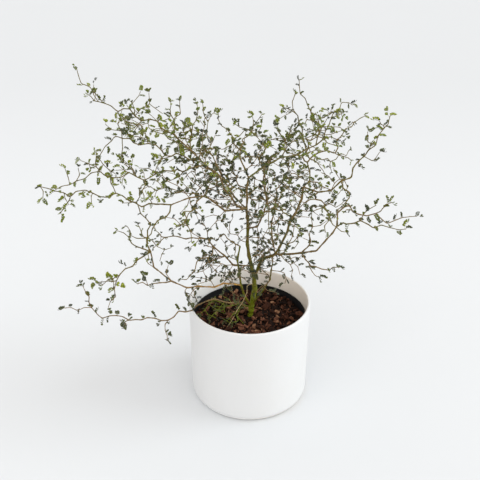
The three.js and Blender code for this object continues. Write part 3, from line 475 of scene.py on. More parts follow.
@dataclass(frozen=True)
class Season:
    """Where growth is fresh, in millimetres, and how bright its leaves are from 0 for old to 1 for new.

    It is freshest high up, and outside a heart that lies on the pot's axis.
    """

    heart_height: float = 225
    heart_radius: float = 55
    fringe: float = 75
    fringe_shares: Pair = (0.1, 0.85)
    fresh_from: float = 165
    fresh_over: float = 60
    fresh_least: float = 0.3
    fresh_bark: float = 0.15
    new_leaf: Pair = (0.5, 0.95)
    old_leaf: Pair = (0.1, 0.95)
    old_skew: float = 1.6
    old_by_flush: Pair = (0.4, 4)


@dataclass(frozen=True)
class Runners:
    """The green threads that creep over the bark in the pot, in millimetres and degrees."""

    count: int = 15
    steps: int = 8
    step: float = 6.5
    leaf: float = 4.3
    girth: Pair = (0.6, 0.42)
    foot: Triple = (-3, -2, 6)
    courses: Pair = (135, 262)
    heights: Pair = (102.2, 108)
    drift: float = 1.5
    dodge: float = 0.3
    room: float = 0.4
    gap: float = 0.1


@dataclass(frozen=True)
class PotRoom:
    """What the growing wood stays clear of, in millimetres."""

    pot_height: float = 125
    pot_radius: float = 70
    inside_radius: float = 64.4
    bark_top: float = 101


@dataclass(frozen=True)
class Keys:
    """How many keys of steady draws one thing takes up, and where some kinds of growth start to count."""

    per_shoot: int = 40
    per_joint: int = 4
    per_twiglet: int = 8
    per_limb: int = 80
    per_sprig: int = 20
    twin: int = 10
    small_leaves: int = 500
    joint_leaf: int = 4000
    runner: int = 7000
    branchlet: int = 60000
    sprig: int = 90000


class Salt(IntEnum):
    """What a steady draw decides. A draw for one step of a twig adds the step's number."""

    LEAF_LENGTH = 1
    LEAF_TURN = 2
    LEAF_TILT_X = 3
    LEAF_TILT_Y = 4
    LEAF_SEASON = 5
    LEAF_AGE = 6
    LEAF_SHADE = 7
    MAIN_PHASE = 7
    MAIN_SWING = 8
    TWIG_LENGTH = 20
    TWIG_PHASE = 30
    TWIGLET = 40
    TWIGLET_STEPS = 41
    SMALL_LEAF = 42
    LIMB_TWIGLET = 43
    LIMB_STEPS = 44
    TWIGLET_HEADING = 50
    TWIGLET_LENGTH = 60
    TWIGLET_PHASE = 70
    SPRIG_PHASE = 70
    SPRIG_TWIN = 71
    SPRIG_TWIGLET = 72
    KINK_PHASE = 80
    KINK_REACH = 81
    BRANCHLET = 90
    RUNNER_COURSE = 90
    RUNNER_HEIGHT = 91
    RUNNER_DRIFT = 92
    TWIN = 100


HABIT = Habit()
SEASON = Season()
RUNNERS = Runners()
POT_ROOM = PotRoom()
KEYS = Keys()
WORD = 0xFFFFFFFF
HASH_PRIMES = (73856093, 19349663, 83492791)
HASH_ROUNDS = ((15, 0x85EBCA6B), (13, 0xC2B2AE35))
LAST_SHIFT = 16
UPRIGHT = 0.05
PARALLEL = 1e-9
TINY = 1e-12


def chance(a: int, b: int, c: int) -> float:
    """Make a steady draw for three whole numbers.

    Args:
        a, b, c: The three numbers.

    Returns:
        The draw, from 0 to 1.
    """
    mix = 0
    for number, prime in zip((a, b, c), HASH_PRIMES):
        mix ^= (number + 1) * prime
    mix &= WORD
    for shift, factor in HASH_ROUNDS:
        mix = ((mix ^ mix >> shift) * factor) & WORD
    return (mix ^ mix >> LAST_SHIFT) / (WORD + 1)


def between(low: float, high: float, share: float) -> float:
    """Return the value at a share of the way from low to high."""
    return low + (high - low) * share


def unit(line: Point) -> Point:
    """Return a direction of length one."""
    return line / np.linalg.norm(line)


def freshness(place: Point) -> float:
    """Work out how fresh growth is at a place.

    Args:
        place: The place.

    Returns:
        A share of what is usual for its spray.
    """
    least, most = SEASON.fringe_shares
    away = (np.linalg.norm(place - UP * SEASON.heart_height) - SEASON.heart_radius) / SEASON.fringe
    lifted = (place[2] - SEASON.fresh_from) / SEASON.fresh_over
    return min(max(away, least), most) * min(max(lifted, SEASON.fresh_least), 1)


def brightness(base: Point, flush: float, draw: Callable[[int], float]) -> float:
    """Choose how bright a leaf is.

    Args:
        base: Where it leaves its stem.
        flush: The chance that it is one of this season's, where growth is at its freshest.
        draw: The leaf's own steady draws, by salt.

    Returns:
        A number from 0 for an old leaf to 1 for a new one.
    """
    fresh = freshness(base)
    if draw(Salt.LEAF_SEASON) < flush * fresh:
        return between(*SEASON.new_leaf, draw(Salt.LEAF_AGE))
    least, slope = SEASON.old_by_flush
    usual = draw(Salt.LEAF_AGE) ** SEASON.old_skew * between(*SEASON.old_leaf, fresh)
    return usual * min(least + slope * flush, 1)


def sideways(along: Point, angle: float) -> Point:
    """Find a direction square to a line.

    Args:
        along: The line's direction, of length one.
        angle: How far the result is turned about the line, in radians.

    Returns:
        A direction of length one.
    """
    level = np.cross(along, UP)
    if np.linalg.norm(level) < UPRIGHT:
        level = np.array([1.0, 0.0, 0.0])
    level = unit(level - along * level.dot(along))
    rise = np.cross(level, along)
    return level * math.cos(angle) + rise * math.sin(angle)


def turns_about(line: Point, phase: float) -> list[tuple[float, Point]]:
    """List directions evenly round a line, in the order in which growth tries them.

    Args:
        line: The line's direction, of length one.
        phase: Where the first one lies, in radians.

    Returns:
        For each one, its share of a full turn from the first and its direction.
    """
    shares = [turn / HABIT.turns for turn in range(HABIT.turns)]
    return [(share, sideways(line, phase + share * TURN)) for share in shares]


def bent_places(tail: Point, heading: Point, length: float, phase: float, bend: Pair,
                first: bool) -> list[Point]:
    """List the places that a twig's next joint may take, each bent to another side.

    Args:
        tail: The joint that the twig has reached.
        heading: The way that it grows there.
        length: How long its next stretch is.
        phase: The side of the first place, in radians.
        bend: One bend, and how many of them the first place takes.
        first: True for the twig's first stretch, which tries the straight way first.

    Returns:
        The places, the wanted one first.
    """
    one, least = bend
    places = []
    for share, side in turns_about(heading, phase):
        reach = 0 if first and not share else one * (least + share)
        places.append(tail + unit(heading + side * reach) * length)
    return places


def paced(route: Sequence[Point], step: float) -> list[Point]:
    """Space places evenly along a route of straight stretches.

    Args:
        route: The route's corners.
        step: The wanted spacing.

    Returns:
        The places, with both ends of the route.
    """
    lengths = [float(np.linalg.norm(b - a)) for a, b in zip(route, route[1:])]
    whole = sum(lengths)
    count = max(2, math.floor(whole / step + 0.5))
    places = []
    for i in range(count + 1):
        left = whole * i / count
        leg = 0
        while leg < len(lengths) - 1 and left > lengths[leg]:
            left -= lengths[leg]
            leg += 1
        share = min(left / lengths[leg], 1)
        places.append(route[leg] + (route[leg + 1] - route[leg]) * share)
    return places


class Thicket:
    """Every rod of wood and leaf placed so far, so that what grows next stays clear of it."""

    def __init__(self, room: int = 12000) -> None:
        """Make an empty thicket.

        Args:
            room: The most rods that it can hold.
        """
        self.tails = np.zeros((room, 3))
        self.spans = np.zeros((room, 3))
        self.radii = np.zeros(room)
        self.owners = np.zeros(room, int)
        self.count = 0

    def add(self, owner: int, tail: Point, head: Point, radius: float) -> None:
        """Register a rod.

        Args:
            owner: The number of the rod's own piece.
            tail: Where the rod starts.
            head: Where it ends.
            radius: Its radius.
        """
        self.tails[self.count] = tail
        self.spans[self.count] = head - tail
        self.radii[self.count] = radius
        self.owners[self.count] = owner
        self.count += 1

    @staticmethod
    def _clears_pot(tail: Point, head: Point, radius: float) -> bool:
        """Tell whether a rod stays off the bark inside the pot, and off the rim.

        Args:
            tail: Where the rod starts.
            head: Where it ends.
            radius: Its radius.

        Returns:
            True where it does.
        """
        for share in (0, 0.25, 0.5, 0.75, 1):
            x, y, z = tail + (head - tail) * share
            out = math.hypot(x, y)
            within = out < POT_ROOM.inside_radius - radius - HABIT.pass_by
            ground = POT_ROOM.bark_top if within else POT_ROOM.pot_height
            if not (out > POT_ROOM.pot_radius + radius + HABIT.pass_by or z > ground + radius):
                return False
        return True

    def _distances(self, owner: int, tail: Point, head: Point) -> np.ndarray:
        """Measure from a rod to every rod so far, or from its far end alone to those of its own piece.

        Args:
            owner: The number of the rod's own piece.
            tail: Where the rod starts.
            head: Where it ends.

        Returns:
            The distances between the rods' middle lines.
        """
        own = (self.owners[: self.count] == owner)[:, None]
        start = np.where(own, head, tail)
        u = head - start
        v = self.spans[: self.count]
        w = start - self.tails[: self.count]
        uu = (u * u).sum(1)
        vv = (v * v).sum(1)
        uv = (u * v).sum(1)
        uw = (u * w).sum(1)
        vw = (v * w).sum(1)
        cross = uu * vv - uv * uv
        safe = np.where(cross > PARALLEL, cross, 1)
        s = np.where(cross > PARALLEL, np.clip((uv * vw - vv * uw) / safe, 0, 1), 0)
        t = np.clip((uv * s + vw) / np.maximum(vv, TINY), 0, 1)
        s = np.clip((uv * t - uw) / np.maximum(uu, TINY), 0, 1)
        return np.linalg.norm(w + u * s[:, None] - v * t[:, None], axis=1)

    def claim(self, owner: int, tail: Point, head: Point, radius: float, gap: float) -> bool:
        """Register a rod where it stays clear of other pieces, and its far end clear of its own.

        Args:
            owner: The number of the rod's own piece.
            tail: Where the rod starts.
            head: Where it ends.
            radius: Its radius.
            gap: The air that it keeps to the other rods.

        Returns:
            True where there was room.
        """
        if not self._clears_pot(tail, head, radius):
            return False
        reach = self._distances(owner, tail, head)
        if np.any(reach < radius + self.radii[: self.count] + gap):
            return False
        self.add(owner, tail, head, radius)
        return True


@dataclass
class Shoot:
    """A crooked stem: its joints and the radius at its two ends, in millimetres."""

    joints: list[Point]
    butt: float
    tip: float
    bark: Pair


@dataclass
class LeafSpot:
    """A leaf's place: its base, the ways that it points and faces, its length, brightness and shade."""

    base: Point
    heading: Point
    facing: Point
    length: float
    young: float
    draw: float


class Grower:
    """What a spray and the framework share: shoots and leaves that grow where the thicket has room."""

    def __init__(self, name: str, number: int, flush: Flush, bark: Bark, thicket: Thicket) -> None:
        """Start a plant part with no shoots or leaves yet.

        Args:
            name: The part's name.
            number: Its number, which its draws follow.
            flush: How fresh its leaves are.
            bark: The tone of its bark.
            thicket: What has grown so far.
        """
        self.name = name
        self.number = number
        self.flush = flush
        self.bark = (bark.value, bark.value)
        self.thicket = thicket
        self.shown = HABIT.usual_shown
        self.slender = HABIT.slender
        self.shoots: list[Shoot] = []
        self.leaves: list[LeafSpot] = []

    def extend(self, shoot: Shoot, options: Iterable[Point], radius: float, gap: float) -> bool:
        """Add the next joint of a shoot at the first place with room.

        Args:
            shoot: The shoot that grows.
            options: Places for its next joint, the wanted one first.
            radius: The radius that is kept clear.
            gap: The air beyond it.

        Returns:
            True where a joint was added.
        """
        tail = shoot.joints[-1]
        for place in options:
            if self.thicket.claim(self.number, tail, place, radius, gap):
                shoot.joints.append(place)
                return True
        return False

    def set_leaf(self, base: Point, along: Point, lean: float, length: float, width: float, gap: float,
                 draw: Callable[[int], float], flush: float) -> None:
        """Set a leaf at the first turn about its stem that has room.

        Args:
            base: Where the leaf leaves its stem.
            along: The stem's direction there.
            lean: How far the leaf leans along the stem.
            length: The leaf's length.
            width: Its width as a share of its length.
            gap: The air that it keeps.
            draw: The leaf's own steady draws, by salt.
            flush: The chance that it is one of this season's.
        """
        half = length * width / 2
        from_base, from_tip = HABIT.leaf_ends
        for turn in range(HABIT.turns):
            angle = TURN * (draw(Salt.LEAF_TURN) + turn / HABIT.turns)
            heading = unit(sideways(along, angle) + along * lean)
            tail = base + heading * half * from_base
            head = base + heading * (length - half * from_tip)
            if not self.thicket.claim(self.number, tail, head, half, gap):
                continue
            facing = np.array([draw(Salt.LEAF_TILT_X) - 0.5, draw(Salt.LEAF_TILT_Y) - 0.5, 1.0])
            facing = unit(facing - heading * facing.dot(heading))
            young = brightness(base, flush, draw)
            shown = length if gap < HABIT.pass_by else length * self.shown
            shown *= 1 + HABIT.young_swell * young
            self.leaves.append(LeafSpot(base, heading, facing, shown, young, draw(Salt.LEAF_SHADE)))
            return

    def add_kinks(self) -> None:
        """Give each straight stretch of the shoots a joint of its own, a little to one side."""
        for order, shoot in enumerate(self.shoots):
            joints = [shoot.joints[0]]
            for i, (tail, head) in enumerate(zip(shoot.joints, shoot.joints[1:])):
                draw = partial(chance, self.number, order * KEYS.per_shoot + i)
                span = np.linalg.norm(head - tail)
                reach = span * HABIT.kink * between(*HABIT.kink_spread, draw(Salt.KINK_REACH))
                side = sideways(unit(head - tail), TURN * draw(Salt.KINK_PHASE))
                joints += [(tail + head) / 2 + side * reach, head]
            shoot.joints = joints

    def grow_twiglet(self, place: Point, along: Point, key: int, steps: int, depth: int = 0) -> None:
        """Grow a crooked twig that is finer than the solids show, with its small leaves.

        Args:
            place: The joint that it springs from.
            along: The stem's direction there.
            key: The joint's own number for steady draws.
            steps: How many joints it may have.
            depth: 0 for a twig on a shoot and 1 for one on another such twig.
        """
        draw = partial(chance, self.number, key)
        thin = 1 - HABIT.branchlet_slim * depth
        twiglet = Shoot([place], HABIT.twiglet_radius * thin, HABIT.twiglet_tip, self.bark)
        heading = unit(sideways(along, TURN * draw(Salt.TWIGLET_HEADING)) + along * HABIT.twiglet_lean)
        for step in range(steps):
            tail = twiglet.joints[-1]
            length = HABIT.twiglet_step * between(*HABIT.twiglet_spread, draw(Salt.TWIGLET_LENGTH + step))
            phase = TURN * draw(Salt.TWIGLET_PHASE + step)
            options = bent_places(tail, heading, length, phase, HABIT.twiglet_bend, step == 0)
            if not self.extend(twiglet, options, HABIT.twiglet_radius, HABIT.twiglet_gap):
                break
            joint = twiglet.joints[-1]
            heading = unit(joint - tail)
            last = step == steps - 1
            leaf_key = key * KEYS.per_twiglet + step * 2
            self.set_small_leaf(joint, heading, leaf_key, HABIT.small_tip_lean if last else HABIT.side_lean)
            if last and draw(Salt.TWIN) < HABIT.twin_share:
                self.set_small_leaf(joint, heading, leaf_key + 1, HABIT.side_lean)
            if not depth and not last and draw(Salt.BRANCHLET + step) < HABIT.branchlet_share:
                branchlet_key = key * KEYS.per_twiglet + step + KEYS.branchlet
                self.grow_twiglet(joint, heading, branchlet_key, HABIT.branchlet_steps, 1)
        self.keep(twiglet)

    def grow_sprig(self, order: int, route: Sequence[Point]) -> None:
        """Grow a fine twig of a given route, with a small leaf at each joint.

        Args:
            order: The sprig's own number for steady draws.
            route: The places that it reaches for, the first on its limb.
        """
        sprig = Shoot([route[0]], HABIT.twiglet_radius, HABIT.twiglet_tip, self.bark)
        places = paced(route, HABIT.twiglet_step)
        for step, place in enumerate(places[1:]):
            draw = partial(chance, order, step)
            tail = sprig.joints[-1]
            options = []
            for turn in range(HABIT.turns):
                swing = HABIT.sprig_swing + HABIT.sprig_swing_more * turn
                angle = TURN * (draw(Salt.SPRIG_PHASE) + turn / HABIT.turns)
                options.append(place + sideways(unit(place - tail), angle) * swing)
            if not self.extend(sprig, options, HABIT.twiglet_radius, HABIT.twiglet_gap):
                continue
            joint = sprig.joints[-1]
            heading = unit(joint - tail)
            last = step == len(places) - 2
            key = KEYS.sprig + order * KEYS.per_sprig + step
            self.set_small_leaf(joint, heading, key, HABIT.small_tip_lean if last else HABIT.side_lean)
            if last or draw(Salt.SPRIG_TWIN) < HABIT.branchlet_share:
                self.set_small_leaf(joint, heading, key + KEYS.twin, HABIT.side_lean)
            if not last and len(places) > HABIT.short_sprig and draw(Salt.SPRIG_TWIGLET) < HABIT.sprig_share:
                self.grow_twiglet(joint, heading, key, HABIT.branchlet_steps, 1)
        self.keep(sprig)

    def keep(self, shoot: Shoot) -> None:
        """Keep a grown shoot, if it found room for more than its first joint."""
        if len(shoot.joints) > 1:
            self.shoots.append(shoot)

    def set_small_leaf(self, place: Point, along: Point, key: int, lean: float,
                       size: float = HABIT.small_leaf) -> None:
        """Set one of the leaves that are finer than the solids show.

        Args:
            place: The joint that it leaves from.
            along: The stem's direction there.
            key: The leaf's own number for steady draws.
            lean: How far it leans along the stem.
            size: Its usual length.
        """
        draw = partial(chance, self.number + KEYS.small_leaves, key)
        length = size + HABIT.small_leaf_spread * (draw(Salt.LEAF_LENGTH) - 0.5)
        length = length * self.shown / HABIT.usual_shown
        self.set_leaf(
            place, along, lean, length, HABIT.small_leaf_width, HABIT.twiglet_gap, draw, self.flush.value,
        )


class Framework(Grower):
    """The trunk with all its limbs."""

    def __init__(self, thicket: Thicket) -> None:
        """Register every limb, in the order and with the radii that the solids have.

        Args:
            thicket: What has grown so far.
        """
        super().__init__("framework", 0, Flush.QUIET, Bark.OLIVE, thicket)
        self.slender = 1.0
        for limb in LIMBS.values():
            joints = [np.array(place, float) for place in limb.route]
            last = len(joints) - 1
            for i, (tail, head) in enumerate(zip(joints, joints[1:])):
                radius = between(*limb.girth, i / last)
                flat = HABIT.flat_end * limb.girth[1] if i == last - 1 else 0
                thicket.add(self.number, tail, head - unit(head - tail) * flat, radius)
            girths = [girth * limb.slim for girth in limb.girth]
            self.shoots.append(Shoot(joints, *girths, tuple(bark.value for bark in limb.bark)))


class LimbTwigs(Grower):
    """The short leafy twigs that spring straight from the limbs of the crown."""

    def __init__(self, thicket: Thicket) -> None:
        """Take the framework's number, so that a twig may start inside its limb."""
        super().__init__("limb_twigs", 0, Flush.QUIET, Bark.RUSSET, thicket)
        self.shown = HABIT.inner_shown

    def grow(self, limbs: Sequence[Shoot]) -> None:
        """Grow the twigs of every limb.

        Args:
            limbs: The limbs' shoots, in the table's order.
        """
        least, more = HABIT.limb_twiglet_steps
        for order, (row, limb) in enumerate(zip(LIMBS.values(), limbs)):
            for i in range(1, len(limb.joints) - 1):
                place = limb.joints[i]
                if place[2] < HABIT.limb_twiglets_above:
                    continue
                along = unit(limb.joints[i + 1] - limb.joints[i - 1])
                for twin in range(2):
                    key = order * KEYS.per_limb + i * KEYS.per_joint + twin
                    draw = partial(chance, order, key)
                    if draw(Salt.LIMB_TWIGLET) < between(*row.twigs.value, i / len(limb.joints)):
                        self.grow_twiglet(place, along, key, least + int(more * draw(Salt.LIMB_STEPS)))


class Spray(Grower):
    """A leafy spray: a crooked main shoot, its side twigs and its leaves."""

    def __init__(self, name: str, order: int, thicket: Thicket) -> None:
        """Take the spray's route from its table row.

        Args:
            name: The spray's name.
            order: Its place in the table.
            thicket: What has grown so far.
        """
        row = SPRAYS[name]
        super().__init__(name, order + 1, row.flush, row.bark, thicket)
        self.order = order
        self.twigs = row.twigs
        self.shown = row.shown
        self.root = np.array(LIMBS[row.limb].route[row.bend], float)
        self.route = [self.root] + [np.array(place, float) for place in row.places]

    def _sprout(self, shoot: Shoot, places: Iterable[Point]) -> bool:
        """Start the main shoot at the first place that its first joint has room for.

        Args:
            shoot: The main shoot, without a joint yet.
            places: Places for its first joint, the wanted one first.

        Returns:
            True where it started.
        """
        for joint in places:
            along = unit(joint - self.root)
            away = 0.0
            while away < HABIT.butt_reach:
                butt = self.root + along * away
                shoulder = butt + along * HABIT.flat_end * HABIT.butt
                if self.thicket.claim(self.number, shoulder, joint, HABIT.butt, HABIT.touch):
                    shoot.joints += [butt, joint]
                    return True
                away += HABIT.butt_step
        return False

    def grow_main(self) -> None:
        """Grow the main shoot along its route, swinging to and fro at its joints."""
        places = paced(self.route, HABIT.internode)
        shoot = Shoot([], *HABIT.main_girth, self.bark)
        self.shoots.append(shoot)
        phase = TURN * chance(self.order, 0, Salt.MAIN_PHASE)
        for i in range(1, len(places)):
            along = unit(places[i] - places[i - 1])
            reach = HABIT.swing if i < len(places) - 1 else HABIT.swing * HABIT.last_swing
            swing = reach * between(*HABIT.swing_spread, chance(self.order, i, Salt.MAIN_SWING))
            if i % 2 == 0:
                swing = -swing
            sides = turns_about(along, phase + HABIT.swing_twist * i)
            options = [places[i] + side * swing for _, side in sides]
            if i == 1:
                self._sprout(shoot, options)
            else:
                self.extend(shoot, options, HABIT.butt, HABIT.pass_by)

    def grow_twigs(self) -> None:
        """Grow a side twig at every third joint of the main shoot."""
        joints = self.shoots[0].joints
        for joint in range(1, len(joints) - 1):
            if (joint + self.order) % HABIT.twig_every == 0:
                self._grow_twig(joints, joint)

    def _grow_twig(self, joints: list[Point], joint: int) -> None:
        """Grow a twig from the outer side of a bend, turning a little at each of its own joints.

        Args:
            joints: The main shoot's joints.
            joint: The number of the one that the twig springs from.
        """
        along = unit(joints[joint + 1] - joints[joint - 1])
        middle = (joints[joint + 1] + joints[joint - 1]) * 0.5
        heading = unit(unit(joints[joint] - middle) + along * HABIT.twig_lean)
        twig = Shoot([joints[joint]], *HABIT.twig_girth, self.bark)
        draw = partial(chance, self.order, joint)
        for step in range(HABIT.twig_steps):
            tail = twig.joints[-1]
            length = HABIT.twig_step * between(*HABIT.twig_spread, draw(Salt.TWIG_LENGTH + step))
            phase = HABIT.twig_phase * draw(Salt.TWIG_PHASE + step)
            options = bent_places(tail, heading, length, phase, HABIT.twig_bend, step == 0)
            if not self.extend(twig, options, HABIT.twig_butt, HABIT.pass_by):
                break
            heading = unit(twig.joints[-1] - tail)
        self.keep(twig)

    def grow_leaves(self) -> None:
        """Grow the leaves that the solids stand for: one at each joint, and a second at each tip."""
        for order, shoot in enumerate(self.shoots):
            for joint in range(1, len(shoot.joints)):
                tip = joint == len(shoot.joints) - 1
                for twin in range(2 if tip else 1):
                    self._grow_leaf(shoot, order, joint, twin, tip)

    def _grow_leaf(self, shoot: Shoot, order: int, joint: int, twin: int, tip: bool) -> None:
        """Grow one leaf by the solids' rule.

        Args:
            shoot: The shoot that it grows on.
            order: The shoot's number.
            joint: The number of its joint.
            twin: 0 for the joint's first leaf and 1 for its second.
            tip: True at the shoot's last joint.
        """
        along = unit(shoot.joints[joint] - shoot.joints[joint - 1])
        base = shoot.joints[joint] - along * HABIT.leaf_seat
        draw = partial(chance, self.order * KEYS.per_shoot + order, joint * KEYS.per_joint + twin)
        length = HABIT.leaf_length + HABIT.leaf_spread * (draw(Salt.LEAF_LENGTH) - 0.5)
        lean = HABIT.tip_lean if tip and not twin else HABIT.side_lean
        flush = min(self.flush.value * (HABIT.tip_flush if tip else 1), HABIT.flush_most)
        self.set_leaf(base, along, lean, length, HABIT.leaf_width, HABIT.pass_by, draw, flush)

    def grow_twiglets(self) -> None:
        """Add the short twigs and small leaves that are finer than the solids show, clear of the tips."""
        for order, shoot in enumerate(list(self.shoots)):
            last = len(shoot.joints) - 1
            for joint in range(1, last):
                key = order * KEYS.per_shoot + joint
                draw = partial(chance, self.number, key)
                along = unit(shoot.joints[joint + 1] - shoot.joints[joint - 1])
                place = shoot.joints[joint]
                if joint % 2 and draw(Salt.SMALL_LEAF) < HABIT.small_leaf_share:
                    self.set_small_leaf(place, along, key + KEYS.joint_leaf, HABIT.side_lean)
                if joint < last - 1 and draw(Salt.TWIGLET) < between(*self.twigs.value, joint / last):
                    room = min(HABIT.twiglet_steps, last - joint)
                    self.grow_twiglet(place, along, key, 1 + int(room * draw(Salt.TWIGLET_STEPS)))

    def grow_runners(self) -> None:
        """Grow the fine green threads that creep over the bark to the left of the trunk."""
        foot = np.array(LIMBS["trunk"].route[1], float) + RUNNERS.foot
        for i in range(RUNNERS.count):
            runner = Shoot([foot], *RUNNERS.girth, (Bark.MOSSY.value, Bark.MOSSY.value))
            share = (i + chance(i, 1, Salt.RUNNER_COURSE)) / RUNNERS.count
            course = math.radians(between(*RUNNERS.courses, share))
            for step in range(RUNNERS.steps):
                tail = runner.joints[-1]
                height = between(*RUNNERS.heights, chance(i, step, Salt.RUNNER_HEIGHT))
                drift = RUNNERS.drift * (chance(i, step, Salt.RUNNER_DRIFT) - 0.5)
                options = []
                for turn in range(HABIT.turns):
                    angle = course + drift + RUNNERS.dodge * turn * (-1) ** turn
                    place = tail + RUNNERS.step * np.array([math.cos(angle), math.sin(angle), 0])
                    options.append(np.array([place[0], place[1], height]))
                if not self.extend(runner, options, RUNNERS.room, RUNNERS.gap):
                    break
                along = unit(runner.joints[-1] - tail)
                key = KEYS.runner + i * KEYS.per_sprig + step
                self.set_small_leaf(runner.joints[-1], along, key, HABIT.side_lean, RUNNERS.leaf)
            self.keep(runner)

    def nearest_joint(self, place: Point) -> Point:
        """Return the joint of the spray's own stems that is nearest to a place."""
        joints = [joint for shoot in self.shoots for joint in shoot.joints]
        return min(joints, key=lambda joint: float(np.linalg.norm(joint - place)))

    def meet_limb(self) -> None:
        """Lead the main shoot back from its butt to the middle of its limb."""
        self.shoots[0].joints.insert(0, self.root)


def operator(operation: str, swapped: bool = False) -> Callable[["Socket", "Value"], "Socket"]:
    """Make one of the operators that write a Math node.

    Args:
        operation: The node's operation.
        swapped: True where the socket stands on the operator's right.

    Returns:
        The operator, as a method of Socket.
    """
    def apply(socket: "Socket", other: "Value") -> "Socket":
        """Return the result of the Math node."""
        first, second = (other, socket) if swapped else (socket, other)
        return socket.graph.node("ShaderNodeMath", {"operation": operation}, {0: first, 1: second})

    return apply


class Socket:
    """One output of a node: each operator on it adds a Math node."""

    def __init__(self, graph: "Graph", output: NodeSocket) -> None:
        """Wrap an output of a graph's node."""
        self.graph = graph
        self.output = output

    __add__ = operator("ADD")
    __radd__ = operator("ADD", swapped=True)
    __sub__ = operator("SUBTRACT")
    __rsub__ = operator("SUBTRACT", swapped=True)
    __mul__ = operator("MULTIPLY")
    __truediv__ = operator("DIVIDE")
    __gt__ = operator("GREATER_THAN")
    __lt__ = operator("LESS_THAN")


Value = Union[Socket, float, int, bool, str, Sequence[float]]
Key = Union[int, str]


def spaced(inputs: dict[str, object]) -> dict[str, object]:
    """Return inputs with a space for each _ in their names."""
    return {name.replace("_", " "): value for name, value in inputs.items()}


class Graph:
    """A node tree that is written as expressions."""

    def __init__(self, tree: NodeTree) -> None:
        """Wrap an empty node tree."""
        self.tree = tree

    def node(self, kind: str, settings: dict[str, object] | None = None,
             inputs: dict[Key, object] | None = None, output: Key = 0) -> Socket:
        """Add a node.

        Args:
            kind: The node's type.
            settings: Its settings, which are set first. "stops" are a ramp's stops.
            inputs: The values or links of its sockets, by name or place.
            output: The name or place of the output to return.

        Returns:
            The wrapped output.
        """
        made = self.tree.nodes.new(kind)
        for key, value in (settings or {}).items():
            if key == "stops":
                self._set_stops(made.color_ramp, value)
            else:
                setattr(made, key, value)
        for key, value in (inputs or {}).items():
            self._feed(made.inputs[key], value)
        return Socket(self, made.outputs[output])

    @staticmethod
    def _set_stops(ramp: ColorRamp, stops: Sequence[tuple[float, Triple]]) -> None:
        """Give a ramp its stops.

        Args:
            ramp: The ramp.
            stops: Each stop's place and colour, from low to high.
        """
        while len(ramp.elements) < len(stops):
            ramp.elements.new(1.0)
        for element, (place, colour) in zip(ramp.elements, stops):
            element.position = place
            element.color = (*colour, 1.0)

    def _feed(self, socket: NodeSocket, value: object) -> None:
        """Link or set one input.

        Args:
            socket: The input.
            value: What is linked to it, or its value.
        """
        if isinstance(value, Socket):
            self.tree.links.new(value.output, socket)
        elif isinstance(value, list):
            for one in value:
                self.tree.links.new(one.output, socket)
        elif socket.type == "RGBA":
            socket.default_value = (*value, 1.0)
        else:
            socket.default_value = value

    def noise(self, place: Socket, scale: float, detail: float = 2, output: str = "Fac") -> Socket:
        """Return noise of a scale, in waves a metre."""
        inputs = {"Vector": place, "Scale": scale, "Detail": detail}
        return self.node("ShaderNodeTexNoise", None, inputs, output)

    def vector(self, operation: str, first: Value, second: Value) -> Socket:
        """Return the result of a Vector Math node on two vectors."""
        return self.node("ShaderNodeVectorMath", {"operation": operation}, {0: first, 1: second})

    def scaled(self, line: Socket, factor: Value) -> Socket:
        """Return a vector times a number."""
        return self.node("ShaderNodeVectorMath", {"operation": "SCALE"}, {0: line, "Scale": factor})

    def combined(self, x: Value, y: Value, z: Value) -> Socket:
        """Return a vector of three numbers."""
        return self.node("ShaderNodeCombineXYZ", None, {0: x, 1: y, 2: z})

    def axis(self, line: Socket, name: str) -> Socket:
        """Return a vector's X, Y or Z."""
        return self.node("ShaderNodeSeparateXYZ", None, {0: line}, name)

    def off_axis(self, place: Socket) -> Socket:
        """Return how far a place is from the Z axis."""
        level = self.vector("MULTIPLY", place, (1, 1, 0))
        return self.node("ShaderNodeVectorMath", {"operation": "LENGTH"}, {0: level}, "Value")


class Shader(Graph):
    """The node tree of a material."""

    def __init__(self, name: str) -> None:
        """Make a material with an empty tree.

        Args:
            name: The material's name.
        """
        self.material = bpy.data.materials.new(name)
        self.material.use_nodes = True
        self.material.node_tree.nodes.clear()
        super().__init__(self.material.node_tree)
        self.place = self.node("ShaderNodeTexCoord", output="Object")

    def attribute(self, name: str) -> Socket:
        """Return a mesh's own number."""
        return self.node("ShaderNodeAttribute", {"attribute_name": name}, output="Fac")

    def mix(self, factor: Value, first: Value, second: Value) -> Socket:
        """Return a mix of two colours."""
        return self.node("ShaderNodeMix", {"data_type": "RGBA"}, {0: factor, 6: first, 7: second}, 2)

    def ramp(self, factor: Socket, *stops: tuple[float, Triple]) -> Socket:
        """Return a colour from a ramp."""
        return self.node("ShaderNodeValToRGB", {"stops": stops}, {0: factor})

    def eased(self, value: Socket, low: float, high: float) -> Socket:
        """Return 0 below low, 1 above high, and a smooth rise between."""
        settings = {"interpolation_type": "SMOOTHSTEP"}
        return self.node("ShaderNodeMapRange", settings, {0: value, 1: low, 2: high, 3: 0.0, 4: 1.0})

    def bump(self, height: Socket, depth: float, strength: float = 1.0) -> Socket:
        """Return a normal from a height that rises by a depth in metres."""
        return self.node("ShaderNodeBump", None, {"Height": height, "Distance": depth, "Strength": strength})

    def done(self, colour: Value, roughness: Value, normal: Socket | None = None,
             shine: float = 0.5) -> Material:
        """Close the tree with a Principled shader.

        Args:
            colour: The base colour.
            roughness: The roughness.
            normal: The bumped normal, if any.
            shine: The specular level.

        Returns:
            The material.
        """
        inputs = {"Base Color": colour, "Roughness": roughness, "Specular IOR Level": shine}
        if normal:
            inputs["Normal"] = normal
        surface = self.node("ShaderNodeBsdfPrincipled", None, inputs)
        output = self.tree.nodes.new("ShaderNodeOutputMaterial")
        self.tree.links.new(surface.output, output.inputs["Surface"])
        return self.material


